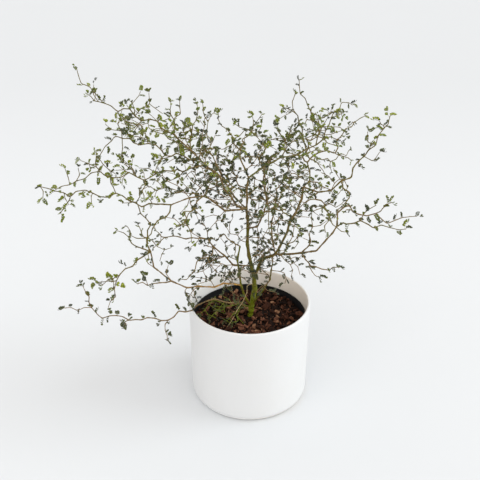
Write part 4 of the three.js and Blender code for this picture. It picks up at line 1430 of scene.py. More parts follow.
@dataclass(frozen=True)
class Ceramic:
    """A white pot with a fine satin glaze. Its inside is painted lighter than the outside, with painted warm
    bounce light to the right and painted cooler light to the left.
    """

    white: Triple = (0.675, 0.684, 0.692)
    warm: Triple = (0.665, 0.668, 0.662)
    warm_share: float = 0.5
    # Painted light: the inside wall is painted lighter than the glaze outside, cooler to the left and warmer
    # to the right as painted bounce light.
    painted_light_inside_left: Triple = (0.93, 0.935, 0.93)
    painted_warm_bounce_inside_right: Triple = (0.86, 0.79, 0.7)
    painted_light_inside_edge: float = 1.0 * MM
    cloud_scale: float = 14
    cloud_edges: Pair = (0.45, 0.75)
    cloud_dulls: float = 0.1
    grain_scale: float = 900
    grain_dulls: float = 0.12
    grain_relief: float = 0.35
    peel_scale: float = 160
    roughness: float = 0.42
    relief: float = 0.00006
    relief_strength: float = 0.8

    def material(self, inner_radius: float) -> Material:
        """Build the glaze.

        Args:
            inner_radius: Where the pot's inside begins, in metres from its axis.

        Returns:
            The glaze.
        """
        graph = Shader("satin_ceramic")
        cloud = graph.noise(graph.place, self.cloud_scale, 3)
        grain = graph.noise(graph.place, self.grain_scale, 3)
        peel = graph.noise(graph.place, self.peel_scale)
        warm = graph.eased(cloud, *self.cloud_edges) * self.warm_share
        # Painted light inside the pot: lighter than the outside, blended from a cooler colour on the left to
        # a warmer colour on the right.
        painted_bounce_across = graph.eased(graph.axis(graph.place, "X"), -inner_radius, inner_radius)
        within = graph.eased(graph.off_axis(graph.place), inner_radius + self.painted_light_inside_edge, inner_radius)
        inside = graph.mix(painted_bounce_across, self.painted_light_inside_left, self.painted_warm_bounce_inside_right)
        colour = graph.mix(within, graph.mix(warm, self.white, self.warm), inside)
        roughness = self.roughness + (grain - 0.5) * self.grain_dulls + (cloud - 0.5) * self.cloud_dulls
        normal = graph.bump(grain * self.grain_relief + peel, self.relief, self.relief_strength)
        return graph.done(colour, roughness, normal)


@dataclass(frozen=True)
class MouldedPlastic:
    """A black nursery pot, dusty where it meets the soil."""

    black: Triple = (0.005, 0.005, 0.006)
    dust: Triple = (0.02, 0.013, 0.009)
    dust_scale: float = 60
    dust_edges: Pair = (0.52, 0.72)
    dust_share: float = 0.7
    dust_dulls: float = 0.3
    grain_scale: float = 1400
    grain_dulls: float = 0.1
    roughness: float = 0.55
    relief: float = 0.00005
    shine: float = 0.22

    def material(self) -> Material:
        """Build the plastic."""
        graph = Shader("black_plastic")
        grain = graph.noise(graph.place, self.grain_scale)
        dusty = graph.eased(graph.noise(graph.place, self.dust_scale, 5), *self.dust_edges)
        colour = graph.mix(dusty * self.dust_share, self.black, self.dust)
        roughness = self.roughness + dusty * self.dust_dulls + (grain - 0.5) * self.grain_dulls
        normal = graph.bump(grain, self.relief)
        return graph.done(colour, roughness, normal, self.shine)


@dataclass(frozen=True)
class PottingBark:
    """Composted pine bark: each chip has its own random tone. The bed between the chips takes the darkest
    colour, which is dark fine soil and painted shade in the gaps.
    """

    # Dark fine soil and painted shade: the bed between the chips has no shade number and shows this
    # near-black in the gaps.
    dark_soil_and_gap_shade: Triple = (0.005, 0.0018, 0.0008)
    brown: Triple = (0.053, 0.018, 0.009)
    rust: Triple = (0.15, 0.06, 0.034)
    tan: Triple = (0.36, 0.2, 0.11)
    stops: Sequence[float] = (0.1, 0.42, 0.7, 0.97)
    least_level: float = 0.1
    shade_share: float = 0.75
    mottle_scale: float = 420
    mottle_share: float = 0.7
    mottle_dulls: float = 0.4
    fibre_scale: float = 1500
    fibre_relief: float = 0.5
    roughness: float = 0.72
    relief: float = 0.0006
    shine: float = 0.12

    def material(self) -> Material:
        """Build the bark."""
        graph = Shader("pine_bark")
        shade = graph.attribute("shade")
        mottle = graph.noise(graph.place, self.mottle_scale, 4)
        fibre = graph.noise(graph.place, self.fibre_scale, 3)
        # The bed has no shade number, so its level stays near least_level and it shows the near-black painted
        # gap shade.
        level = shade * self.shade_share + (mottle - 0.5) * self.mottle_share + self.least_level
        colour = graph.ramp(level, *zip(self.stops, (self.dark_soil_and_gap_shade, self.brown, self.rust, self.tan)))
        roughness = self.roughness + (mottle - 0.5) * self.mottle_dulls
        normal = graph.bump(mottle + fibre * self.fibre_relief, self.relief)
        return graph.done(colour, roughness, normal, self.shine)


@dataclass(frozen=True)
class StemBark:
    """Young bark: moss at the foot, olive and brown above, tan on the thin dry stems."""

    moss: Triple = (0.162, 0.205, 0.004)
    olive: Triple = (0.115, 0.1, 0.005)
    brown: Triple = (0.168, 0.111, 0.033)
    russet: Triple = (0.213, 0.136, 0.053)
    tan: Triple = (0.55, 0.3, 0.06)
    dry: Triple = (0.5, 0.38, 0.2)
    stops: Sequence[float] = (0.06, 0.23, 0.42, 0.6, 0.8, 0.95)
    scar: Triple = (0.016, 0.01, 0.003)
    scar_edges: Pair = (0.52, 0.62)
    scar_share: float = 0.7
    patch_scale: float = 180
    patch_share: float = 0.36
    streak_scale: float = 900
    streak_dulls: float = 0.35
    roughness: float = 0.5
    relief: float = 0.0005
    shine: float = 0.3

    def material(self) -> Material:
        """Build the bark."""
        graph = Shader("sophora_bark")
        patch = graph.noise(graph.place, self.patch_scale, 3)
        streak = graph.noise(graph.place, self.streak_scale, 4)
        tone = graph.attribute("tone") + (patch - 0.5) * self.patch_share
        colours = (self.moss, self.olive, self.brown, self.russet, self.tan, self.dry)
        colour = graph.ramp(tone, *zip(self.stops, colours))
        colour = graph.mix(graph.eased(streak, *self.scar_edges) * self.scar_share, colour, self.scar)
        roughness = self.roughness + (streak - 0.5) * self.streak_dulls
        normal = graph.bump(streak + patch, self.relief)
        return graph.done(colour, roughness, normal, self.shine)


@dataclass(frozen=True)
class Foliage:
    """Leaflets: dark grey-green when old, bright yellow-green when new, with a paler rib."""

    old: Triple = (0.0097, 0.0158, 0.006)
    pale: Triple = (0.062, 0.074, 0.037)
    pale_share: float = 0.8
    new: Triple = (0.155, 0.215, 0.008)
    newest: Triple = (0.31, 0.35, 0.016)
    stalk: Triple = (0.15, 0.1, 0.04)
    vein_share: float = 0.22
    mottle_scale: float = 700
    mottle_share: float = 0.5
    mottle_dulls: float = 0.25
    young_dulls: float = 0.12
    roughness: float = 0.38
    relief: float = 0.00012

    def material(self) -> Material:
        """Build the leaf."""
        graph = Shader("sophora_leaf")
        young = graph.attribute("young")
        shade = graph.attribute("shade")
        mottle = graph.noise(graph.place, self.mottle_scale, 3)
        level = shade * self.pale_share + (mottle - 0.5) * self.mottle_share
        mature = graph.mix(level, self.old, self.pale)
        fresh = graph.mix(shade, self.new, self.newest)
        colour = graph.mix(young, mature, fresh)
        colour = graph.mix(graph.attribute("vein") * self.vein_share, colour, self.newest)
        colour = graph.mix(graph.attribute("stalk"), colour, self.stalk)
        roughness = self.roughness + (mottle - 0.5) * self.mottle_dulls + young * self.young_dulls
        return graph.done(colour, roughness, graph.bump(mottle, self.relief))


class Growth(Graph):
    """A geometry node tree with named inputs."""

    def __init__(self, name: str, inputs: dict[str, float | str]) -> None:
        """Make the tree and its inputs.

        Args:
            name: The tree's name.
            inputs: Each input's default value, or the kind of data that it takes, by name.
        """
        tree = bpy.data.node_groups.new(name, "GeometryNodeTree")
        tree.interface.new_socket("Geometry", in_out="INPUT", socket_type="NodeSocketGeometry")
        tree.interface.new_socket("Geometry", in_out="OUTPUT", socket_type="NodeSocketGeometry")
        kinds = {float: "Float", int: "Int"}
        for key, value in inputs.items():
            kind = kinds.get(type(value), value)
            made = tree.interface.new_socket(key, in_out="INPUT", socket_type=f"NodeSocket{kind}")
            if kind != value:
                made.default_value = value
        super().__init__(tree)
        self.source = tree.nodes.new("NodeGroupInput")
        self.position = self.node("GeometryNodeInputPosition")

    def given(self, name: str) -> Socket:
        """Return one of the tree's inputs."""
        return Socket(self, self.source.outputs[name])

    def attribute(self, name: str, kind: str = "FLOAT") -> Socket:
        """Return a named attribute of the geometry."""
        return self.node("GeometryNodeInputNamedAttribute", {"data_type": kind}, {"Name": name})

    def stored(self, geometry: Socket, name: str, value: Value, domain: str = "POINT") -> Socket:
        """Store a number on geometry.

        Args:
            geometry: What carries the number.
            name: The number's name.
            value: The number.
            domain: What each number belongs to.

        Returns:
            The geometry with the number.
        """
        settings = {"data_type": "FLOAT", "domain": domain}
        inputs = {"Geometry": geometry, "Name": name, "Value": value}
        return self.node("GeometryNodeStoreNamedAttribute", settings, inputs)

    def random(self, low: Value, high: Value, seed: Value) -> Socket:
        """Return a seeded random number for each element."""
        inputs = {2: low, 3: high, "Seed": seed}
        return self.node("FunctionNodeRandomValue", {"data_type": "FLOAT"}, inputs, 1)

    def rotation(self, x: Value, y: Value, z: Value) -> Socket:
        """Return a rotation of three angles."""
        return self.node("FunctionNodeEulerToRotation", None, {0: self.combined(x, y, z)})

    def members(self, name: str) -> Socket:
        """Return the objects of a given collection, each as an instance."""
        inputs = {"Collection": self.given(name), "Separate Children": True, "Reset Children": True}
        return self.node("GeometryNodeCollectionInfo", None, inputs)

    def instances(self, **inputs: object) -> Socket:
        """Return instances on points, with _ for a space in the names of the inputs."""
        return self.node("GeometryNodeInstanceOnPoints", None, spaced(inputs))

    def moved(self, geometry: Socket, offset: Value) -> Socket:
        """Return geometry with its points moved."""
        return self.node("GeometryNodeSetPosition", None, {"Geometry": geometry, "Offset": offset})

    def joined(self, *parts: Socket) -> Socket:
        """Return several geometries as one."""
        return self.node("GeometryNodeJoinGeometry", None, {"Geometry": list(parts)})

    def smooth(self, geometry: Socket) -> Socket:
        """Return geometry that is shaded smooth."""
        return self.node("GeometryNodeSetShadeSmooth", None, {"Geometry": geometry})

    def clothed(self, geometry: Socket, material: Value) -> Socket:
        """Return geometry with its instances realised and its material set."""
        real = self.node("GeometryNodeRealizeInstances", None, {"Geometry": geometry})
        return self.node("GeometryNodeSetMaterial", None, {"Geometry": real, "Material": material})

    def tube(self, curve: Socket, radius: Value, sides: Value) -> Socket:
        """Sweep a closed tube along a curve.

        Args:
            curve: The curve.
            radius: The tube's radius.
            sides: How many sides it has.

        Returns:
            The tube.
        """
        ring = self.node("GeometryNodeCurvePrimitiveCircle", None, {"Resolution": sides, "Radius": 1.0})
        inputs = {"Curve": curve, "Profile Curve": ring, "Scale": radius, "Fill Caps": True}
        return self.smooth(self.node("GeometryNodeCurveToMesh", None, inputs))

    def finish(self, geometry: Socket) -> NodeTree:
        """Link the tree's output.

        Args:
            geometry: What the tree makes.

        Returns:
            The tree.
        """
        output = self.tree.nodes.new("NodeGroupOutput")
        self.tree.links.new(geometry.output, output.inputs[0])
        return self.tree


def added(name: str, data: ID) -> Object:
    """Put a new object in the scene.

    Args:
        name: The object's name.
        data: What it shows or holds.

    Returns:
        The object.
    """
    made = bpy.data.objects.new(name, data)
    bpy.context.scene.collection.objects.link(made)
    return made


def grown(name: str, mesh: Mesh, tree: NodeTree, **values: object) -> Object:
    """Run a geometry node tree on a mesh and keep the result as a plain object.

    Args:
        name: The new object's name.
        mesh: What the tree works on.
        tree: The geometry node tree.
        values: The tree's inputs, with _ for a space.

    Returns:
        An object at the origin, with no modifier.
    """
    host = added(name, mesh)
    modifier = host.modifiers.new("growth", "NODES")
    modifier.node_group = tree
    given = spaced(values)
    for item in tree.interface.items_tree:
        if item.item_type == "SOCKET" and item.in_out == "INPUT" and item.name in given:
            modifier[item.identifier] = given[item.name]
    depsgraph = bpy.context.evaluated_depsgraph_get()
    result = bpy.data.meshes.new_from_object(
        host.evaluated_get(depsgraph), preserve_all_data_layers=True, depsgraph=depsgraph,
    )
    host.modifiers.clear()
    host.data = result
    return host


FILLET_POINTS = 3
WAVER_SCALE = 90
LUMP_SCALE = 260
RIDGE_SCALE = 420


def add_wood(graph: Growth) -> Socket:
    """Add the nodes that turn a skeleton of edges into round stems.

    Args:
        graph: A tree with the inputs of WOOD_INPUTS.

    Returns:
        The stems, as closed tubes.
    """
    line = graph.node("GeometryNodeMeshToCurve", None, {"Mesh": graph.given("Geometry")})
    inputs = {
        "Curve": line, "Count": FILLET_POINTS, "Radius": graph.given("Rounding"), "Limit Radius": True,
    }
    line = graph.node("GeometryNodeFilletCurve", {"mode": "POLY"}, inputs)
    inputs = {"Curve": line, "Length": graph.given("Ring Spacing")}
    line = graph.node("GeometryNodeResampleCurve", {"mode": "LENGTH"}, inputs)
    drift = graph.vector("SUBTRACT", graph.noise(graph.position, WAVER_SCALE, 2, "Color"), (0.5, 0.5, 0.5))
    line = graph.moved(line, graph.scaled(drift, graph.given("Waver")))
    lumps = (graph.noise(graph.position, LUMP_SCALE) - 0.5) * graph.given("Lumps") + 1
    return graph.tube(line, graph.attribute("girth") * lumps, graph.given("Sides"))


WOOD_INPUTS: dict[str, float | str] = {
    "Rounding": 0.002,
    "Ring Spacing": 0.002,
    "Waver": 0.0012,
    "Lumps": 0.5,
    "Sides": 6,
    "Bark": "Material",
}
LEAF_INPUTS: dict[str, float | str] = {
    "Leaf Forms": "Collection",
    "Foliage": "Material",
}


def add_leaves(graph: Growth) -> Socket:
    """Add the nodes that set a leaf on each loose point of the skeleton.

    Args:
        graph: A tree with the inputs of LEAF_INPUTS.

    Returns:
        The leaves, realised.
    """
    axes = {
        "Primary Axis": graph.attribute("heading", "FLOAT_VECTOR"),
        "Secondary Axis": graph.attribute("facing", "FLOAT_VECTOR"),
    }
    turn = graph.node("FunctionNodeAxesToRotation", {"primary_axis": "X", "secondary_axis": "Z"}, axes)
    leaves = graph.instances(
        Points=graph.given("Geometry"),
        Selection=graph.attribute("leafy", "BOOLEAN"),
        Instance=graph.members("Leaf Forms"),
        Pick_Instance=True,
        Instance_Index=graph.attribute("form", "INT"),
        Rotation=turn,
        Scale=graph.attribute("size"),
    )
    return graph.clothed(leaves, graph.given("Foliage"))


def spray_tree() -> NodeTree:
    """Build the tree that grows a leafy spray from its skeleton."""
    graph = Growth("leafy_spray", {**WOOD_INPUTS, **LEAF_INPUTS})
    wood = graph.clothed(add_wood(graph), graph.given("Bark"))
    return graph.finish(graph.joined(wood, add_leaves(graph)))


def framework_tree() -> NodeTree:
    """Build the tree that grows the framework and melts its limbs into one another."""
    extra = {"Voxel": 0.00045, "Roughening": 0.00035}
    graph = Growth("woody_framework", {**WOOD_INPUTS, **extra})
    tubes = add_wood(graph)
    voxel = graph.given("Voxel")
    inputs = {"Mesh": tubes, "Density": 1.0, "Voxel Size": voxel, "Interior Band Width": voxel * 3}
    cloud = graph.node("GeometryNodeMeshToVolume", {"resolution_mode": "VOXEL_SIZE"}, inputs)
    inputs = {"Volume": cloud, "Threshold": 0.1, "Adaptivity": 0.02}
    body = graph.node("GeometryNodeVolumeToMesh", {"resolution_mode": "GRID"}, inputs)
    inputs = {"Mesh": tubes, "Value": graph.attribute("tone"), "Sample Position": graph.position}
    tone = graph.node("GeometryNodeSampleNearestSurface", {"data_type": "FLOAT"}, inputs)
    body = graph.stored(body, "tone", tone)
    ridge = (graph.noise(graph.position, RIDGE_SCALE, 3) - 0.5) * graph.given("Roughening")
    body = graph.moved(body, graph.scaled(graph.node("GeometryNodeInputNormal"), ridge))
    return graph.finish(graph.clothed(graph.smooth(body), graph.given("Bark")))


@dataclass(frozen=True)
class LeafForm:
    """One shape of leaf, in millimetres and degrees."""

    pairs: int
    spread: float
    lift: float
    arch: float
    leaflet: float
    width: float


LEAF_UNIT = 10.0
LEAF_FORMS: list[LeafForm] = [
    LeafForm(pairs=3, spread=58, lift=28, arch=1.2, leaflet=4.6, width=4.0),
    LeafForm(pairs=3, spread=62, lift=46, arch=2.0, leaflet=4.3, width=3.8),
    LeafForm(pairs=3, spread=50, lift=64, arch=1.4, leaflet=4.7, width=3.9),
    LeafForm(pairs=4, spread=64, lift=16, arch=-1.0, leaflet=4.1, width=3.4),
    LeafForm(pairs=2, spread=46, lift=34, arch=2.4, leaflet=5.2, width=4.4),
    LeafForm(pairs=3, spread=54, lift=72, arch=0.8, leaflet=4.3, width=3.8),
]


@dataclass(frozen=True)
class LeafPress:
    """Makes the leaf shapes that every spray is set with. Lengths are shares of a leaflet's or a leaf's."""

    outline: Sequence[Pair] = ((0.25, 0.27), (0.55, 0.46), (0.82, 0.44), (0.98, 0.22))
    middle: Pair = (0.3, 0.65)
    notch: Pair = (0.92, -0.02)
    trough: float = 0.03
    edge_rise: float = 0.28
    thickness: float = 0.09
    stalk: Pair = (-0.08, 0.9)
    pairs: Pair = (0.26, 0.82)
    end: Pair = (0.5, 0.88)
    end_lift: float = -0.3
    yaw_spread: float = 0.14
    roll_spread: float = 0.2
    pitch_spread: float = 0.12
    sizes: Pair = (0.86, 1.1)

    def leaflet(self) -> Mesh:
        """Build one leaflet a unit long: a shallow trough with a notched tip, closed below."""
        bm = bmesh.new()
        vein = bm.verts.layers.float.new("vein")
        base = bm.verts.new((0, 0, 0))
        tip = bm.verts.new((self.notch[0], 0, self.notch[1]))
        levels = (-self.trough, -self.trough - self.thickness)
        rails = [[bm.verts.new((x, 0, z)) for x in self.middle] for z in levels]
        for side in (1, -1):
            edge = [bm.verts.new((x, side * y, self.edge_rise * y * y)) for x, y in self.outline]
            for rail, below in zip(rails, (False, True)):
                first, second = rail
                faces = [
                    (base, first, edge[0]),
                    (first, edge[1], edge[0]),
                    (first, second, edge[1]),
                    (second, edge[2], edge[1]),
                    (second, edge[3], edge[2]),
                    (second, tip, edge[3]),
                ]
                for corners in faces:
                    flip = (side < 0) != below
                    bm.faces.new(corners[::-1] if flip else corners).smooth = True
        for vert in (base, *rails[0]):
            vert[vein] = 1.0
        return baked(bm, "leaflet")

    def tree(self) -> NodeTree:
        """Build the tree that sets leaflets in pairs along an arched rib, and one at its end."""
        graph = Growth("pinnate_leaf", {
            "Leaflet": "Object",
            "Length": 0.01,
            "Pairs": 3,
            "Spread": 1.0,
            "Lift": 0.4,
            "Arch": 0.001,
            "Leaflet Length": 0.003,
            "Leaflet Width": 0.002,
            "Rib Radius": 0.00016,
            "Seed": 1,
        })
        length = graph.given("Length")
        seed = graph.given("Seed")

        def rib(start: float, end: float, count: Value) -> Socket:
            """Return a stretch of the arched rib."""
            ends = {"Start": graph.combined(length * start, 0, 0), "End": graph.combined(length * end, 0, 0)}
            line = graph.node("GeometryNodeCurvePrimitiveLine", None, ends)
            line = graph.node("GeometryNodeResampleCurve", {"mode": "COUNT"}, {"Curve": line, "Count": count})
            share = graph.axis(graph.position, "X") / length
            rise = graph.given("Arch") * share * (1 - share) * 4
            return graph.moved(line, graph.combined(0, 0, rise))

        inputs = {"Object": graph.given("Leaflet"), "As Instance": True}
        leaflet = graph.node("GeometryNodeObjectInfo", None, inputs, "Geometry")

        def leaflets(places: Socket, side: float, salt: int) -> Socket:
            """Return leaflets on places of the rib, to one side or straight on."""
            def about(reach: float, extra: int) -> Socket:
                """Return a random number from a reach below 0 to one above."""
                return graph.random(-reach, reach, seed + (salt + extra))

            yaw = graph.given("Spread") * side + about(self.yaw_spread, 0)
            roll = about(self.roll_spread, 10)
            pitch = graph.given("Lift") * (-1.0 if side else self.end_lift) + about(self.pitch_spread, 20)
            grow = graph.random(*self.sizes, seed + (salt + 30))
            scale = graph.combined(
                graph.given("Leaflet Length") * grow,
                graph.given("Leaflet Width") * grow,
                graph.given("Leaflet Length"),
            )
            turn = graph.rotation(roll, pitch, yaw)
            return graph.instances(Points=places, Instance=leaflet, Rotation=turn, Scale=scale)

        stalk = graph.stored(graph.tube(rib(*self.stalk, 4), graph.given("Rib Radius"), 4), "stalk", 1.0)
        start = graph.node("GeometryNodeCurveEndpointSelection", None, {"Start Size": 1, "End Size": 0})
        inputs = {"Geometry": rib(*self.end, 2), "Selection": start}
        tip = graph.node("GeometryNodeDeleteGeometry", {"domain": "POINT"}, inputs)
        pairs = rib(*self.pairs, graph.given("Pairs"))
        whole = graph.joined(stalk, leaflets(pairs, 1, 1), leaflets(pairs, -1, 2), leaflets(tip, 0, 3))
        return graph.finish(graph.node("GeometryNodeRealizeInstances", None, {"Geometry": whole}))

    def press(self) -> Collection:
        """Make every leaf form, a nominal leaf long, and return them in a collection of their own."""
        leaflet = bpy.data.objects.new("leaflet", self.leaflet())
        tree = self.tree()
        forms = bpy.data.collections.new("leaf_forms")
        for i, form in enumerate(LEAF_FORMS):
            leaf = grown(
                f"leaf_form_{i}", bpy.data.meshes.new("rib"), tree,
                Leaflet=leaflet,
                Length=LEAF_UNIT * MM,
                Pairs=form.pairs,
                Spread=math.radians(form.spread),
                Lift=math.radians(form.lift),
                Arch=form.arch * MM,
                Leaflet_Length=form.leaflet * MM,
                Leaflet_Width=form.width * MM,
                Seed=i,
            )
            bpy.context.scene.collection.objects.unlink(leaf)
            forms.objects.link(leaf)
        return forms


FORM_MIX = 997


def skeleton(part: Grower) -> Mesh:
    """Turn a plant part's shoots and leaves into a mesh of edges and loose points.

    Args:
        part: The part, with everything grown.

    Returns:
        A mesh whose edges are stems and whose loose points are leaves, with their sizes as attributes.
    """
    places: list[Point] = []
    edges: list[tuple[int, int]] = []
    girths: list[float] = []
    tones: list[float] = []
    for shoot in part.shoots:
        last = len(shoot.joints) - 1
        for i, joint in enumerate(shoot.joints):
            girth = between(shoot.butt, shoot.tip, i / last) * part.slender
            tone = between(*shoot.bark, i / last) - SEASON.fresh_bark * freshness(joint)
            if i:
                edges.append((len(places) - 1, len(places)))
                places.append((joint + shoot.joints[i - 1]) / 2)
                girths.append(girth * HABIT.waist)
                tones.append(tone)
                edges.append((len(places) - 1, len(places)))
            places.append(joint)
            girths.append(girth * (HABIT.knot if 0 < i < last else 1))
            tones.append(tone)
    stems = len(places)
    places.extend(leaf.base for leaf in part.leaves)
    mesh = bpy.data.meshes.new(part.name)
    mesh.from_pydata([tuple(place * MM) for place in places], edges, [])
    blank = [0.0] * stems
    up = [tuple(UP)] * stems
    leafy = len(part.leaves)
    fill(mesh, "girth", "FLOAT", [girth * MM for girth in girths] + [0.0] * leafy)
    fill(mesh, "tone", "FLOAT", tones + [0.0] * leafy)
    fill(mesh, "leafy", "BOOLEAN", [False] * stems + [True] * leafy)
    fill(mesh, "heading", "FLOAT_VECTOR", up + [tuple(leaf.heading) for leaf in part.leaves])
    fill(mesh, "facing", "FLOAT_VECTOR", up + [tuple(leaf.facing) for leaf in part.leaves])
    fill(mesh, "size", "FLOAT", blank + [leaf.length / LEAF_UNIT for leaf in part.leaves])
    fill(mesh, "young", "FLOAT", blank + [leaf.young for leaf in part.leaves])
    fill(mesh, "shade", "FLOAT", blank + [leaf.draw for leaf in part.leaves])
    forms = [int(leaf.draw * FORM_MIX) % len(LEAF_FORMS) for leaf in part.leaves]
    fill(mesh, "form", "INT", [0] * stems + forms)
    return mesh


def fill(mesh: Mesh, name: str, kind: str, values: Sequence[object]) -> None:
    """Give a mesh an attribute.

    Args:
        mesh: The mesh.
        name: The attribute's name.
        kind: Its type of data.
        values: Its values, one a vertex.
    """
    layer = mesh.attributes.new(name, kind, "POINT")
    field_name = "vector" if kind == "FLOAT_VECTOR" else "value"
    layer.data.foreach_set(field_name, np.array(values).ravel())


def baked(bm: bmesh.types.BMesh, name: str) -> Mesh:
    """Make a mesh of a bmesh, and free the bmesh.

    Args:
        bm: The bmesh.
        name: The mesh's name.

    Returns:
        The mesh.
    """
    mesh = bpy.data.meshes.new(name)
    bm.to_mesh(mesh)
    bm.free()
    return mesh


def turned(name: str, profile: Sequence[Pair], facets: int) -> Mesh:
    """Turn a profile about the Z axis into a closed mesh.

    Args:
        name: The mesh's name.
        profile: Radius and height of each point, from the axis to the axis.
        facets: How many steps a turn takes.

    Returns:
        A smooth mesh whose faces point outwards.
    """
    bm = bmesh.new()
    rings = []
    for radius, height in profile:
        if radius < TINY:
            rings.append([bm.verts.new((0, 0, height))] * facets)
            continue
        angles = [TURN * i / facets for i in range(facets)]
        rings.append([bm.verts.new((radius * math.cos(a), radius * math.sin(a), height)) for a in angles])
    for low, high in zip(rings, rings[1:]):
        for i in range(facets):
            j = (i + 1) % facets
            corners = list(dict.fromkeys((low[i], low[j], high[j], high[i])))
            if len(corners) > 2:
                bm.faces.new(corners).smooth = True
    bmesh.ops.recalc_face_normals(bm, faces=bm.faces)
    return baked(bm, name)


def rounded(centre: Pair, radius: float, start: float, end: float, steps: int) -> list[Pair]:
    """Return points of a profile along an arc, with angles in degrees."""
    angles = [math.radians(between(start, end, i / steps)) for i in range(steps + 1)]
    return [(centre[0] + radius * math.cos(a), centre[1] + radius * math.sin(a)) for a in angles]


def stations(first: Pair, last: Pair, count: int) -> list[Pair]:
    """Return points evenly spaced between two points of a profile, without its ends."""
    shares = [i / count for i in range(1, count)]
    return [(between(first[0], last[0], share), between(first[1], last[1], share)) for share in shares]


def place_piece(piece: Object, slot: str, *nodes: str) -> Object:
    """Put a piece on its body in place of CAD nodes, and report it.

    Args:
        piece: The finished piece.
        slot: The name of one of the record's material slots; not used.
        nodes: The CAD nodes that it stands for, if any.

    Returns:
        The piece.
    """
    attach(piece, ROOT)
    if nodes:
        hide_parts(*nodes)
    triangles = sum(len(face.vertices) - 2 for face in piece.data.polygons)
    LOG.info("%s: %d triangles for %s", piece.name, triangles, ", ".join(nodes) or "no node of its own")
    return piece


@dataclass
class CoverPot:
    """The white cover pot, sized from its solid. Its foot is hollowed a little in rings."""

    wall: float = 3.0 * MM
    floor: float = 5.0 * MM
    floor_round: float = 5.0 * MM
    foot_round: float = 9.0 * MM
    foot_start: float = -84
    hollow: Sequence[Pair] = ((0, 0.4 * MM), (0.5, 0.4 * MM), (0.86, 0.3 * MM))
    taper: float = 1.5 * MM
    facets: int = 144
    finish: Ceramic = field(default_factory=Ceramic)

    def __post_init__(self) -> None:
        """Read the pot's radius and height from the frame."""
        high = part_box("pot")[1]
        self.radius = high.x
        self.height = high.z

    def build(self) -> Object:
        """Turn the pot and give it its glaze."""
        foot = self.radius - self.taper
        lip = self.wall / 2
        edge = (self.radius - lip, self.height - lip)
        inside = foot - self.wall
        heel = (foot - self.foot_round, self.foot_round)
        corner = (inside - self.floor_round, self.floor + self.floor_round)
        profile = [(foot * share, rise) for share, rise in self.hollow] + [(heel[0], 0)]
        profile += rounded(heel, self.foot_round, self.foot_start, 0, 9)
        profile += stations(profile[-1], (self.radius, edge[1]), 12)
        profile += rounded(edge, lip, 0, 180, 10)
        profile += stations(profile[-1], (inside, corner[1]), 10)
        profile += rounded(corner, self.floor_round, 0, -90, 5)
        profile += [(inside / 2, self.floor), (0, self.floor)]
        piece = added("cover_pot", turned("cover_pot", profile, self.facets))
        piece.data.materials.append(self.finish.material(self.radius - self.wall))
        return place_piece(piece, "ceramic", "pot")


@dataclass
class NurseryPot:
    """The black plastic pot inside the cover pot, sized from its solid."""

    wall: float = 1.4 * MM
    rim_depth: float = 8.0 * MM
    rim_step: float = 1.6 * MM
    rim_shoulder: Pair = (0.3 * MM, 0.2 * MM)
    rim_side: Pair = (0.8 * MM, 3.0 * MM)
    rim_inside: float = 2.0 * MM
    base_radius: float = 48.0 * MM
    base_edge: float = 1.0 * MM
    base_middle: float = 0.6
    facets: int = 120
    finish: MouldedPlastic = field(default_factory=MouldedPlastic)

    def __post_init__(self) -> None:
        """Read the pot's rim and base from the frame."""
        low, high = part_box("nursery_pot")
        self.rim_radius = high.x
        self.top = high.z
        self.base = low.z

    def build(self) -> Object:
        """Turn the pot with its rolled rim and give it its plastic."""
        shoulder = self.top - self.rim_depth
        waist = self.rim_radius - self.rim_step
        lip = self.wall / 2
        inner = self.rim_radius - self.wall
        start = (self.base_radius, self.base + self.base_edge)
        end = (self.base_radius - self.wall, self.base + self.wall)
        profile = [(0, self.base), (self.base_radius * self.base_middle, self.base)]
        profile += [(self.base_radius - self.base_edge, self.base), start]
        profile += stations(start, (waist, shoulder), 8)
        profile += [
            (waist, shoulder),
            (self.rim_radius - self.rim_shoulder[0], shoulder + self.rim_shoulder[1]),
            (self.rim_radius, shoulder + self.rim_side[0]),
            (self.rim_radius, self.top - self.rim_side[1]),
        ]
        profile += rounded((self.rim_radius - lip, self.top - lip), lip, 0, 180, 8)
        profile += [(inner, shoulder + self.rim_inside), (waist - self.wall, shoulder)]
        profile += stations((waist - self.wall, shoulder), end, 6)
        profile += [end, (self.base_radius / 2, end[1]), (0, end[1])]
        piece = added("plastic_pot", turned("plastic_pot", profile, self.facets))
        piece.data.materials.append(self.finish.material())
        return place_piece(piece, "nursery_plastic", "nursery_pot")


@dataclass(frozen=True)
class ChipLayer:
    """One size of bark chip: spacing, sizes and lift in millimetres, tilt in radians, and a seed's salt."""

    spacing: float
    sizes: Pair
    lift: float
    tilt: float
    salt: int


CHIP_LAYERS: Sequence[ChipLayer] = (
    ChipLayer(8.0, (7.5, 12.5), 1.8, 0.7, 10),
    ChipLayer(4.6, (4.5, 7.5), 1.4, 1.0, 30),
    ChipLayer(3.0, (2.0, 4.2), 0.7, 1.4, 50),
)


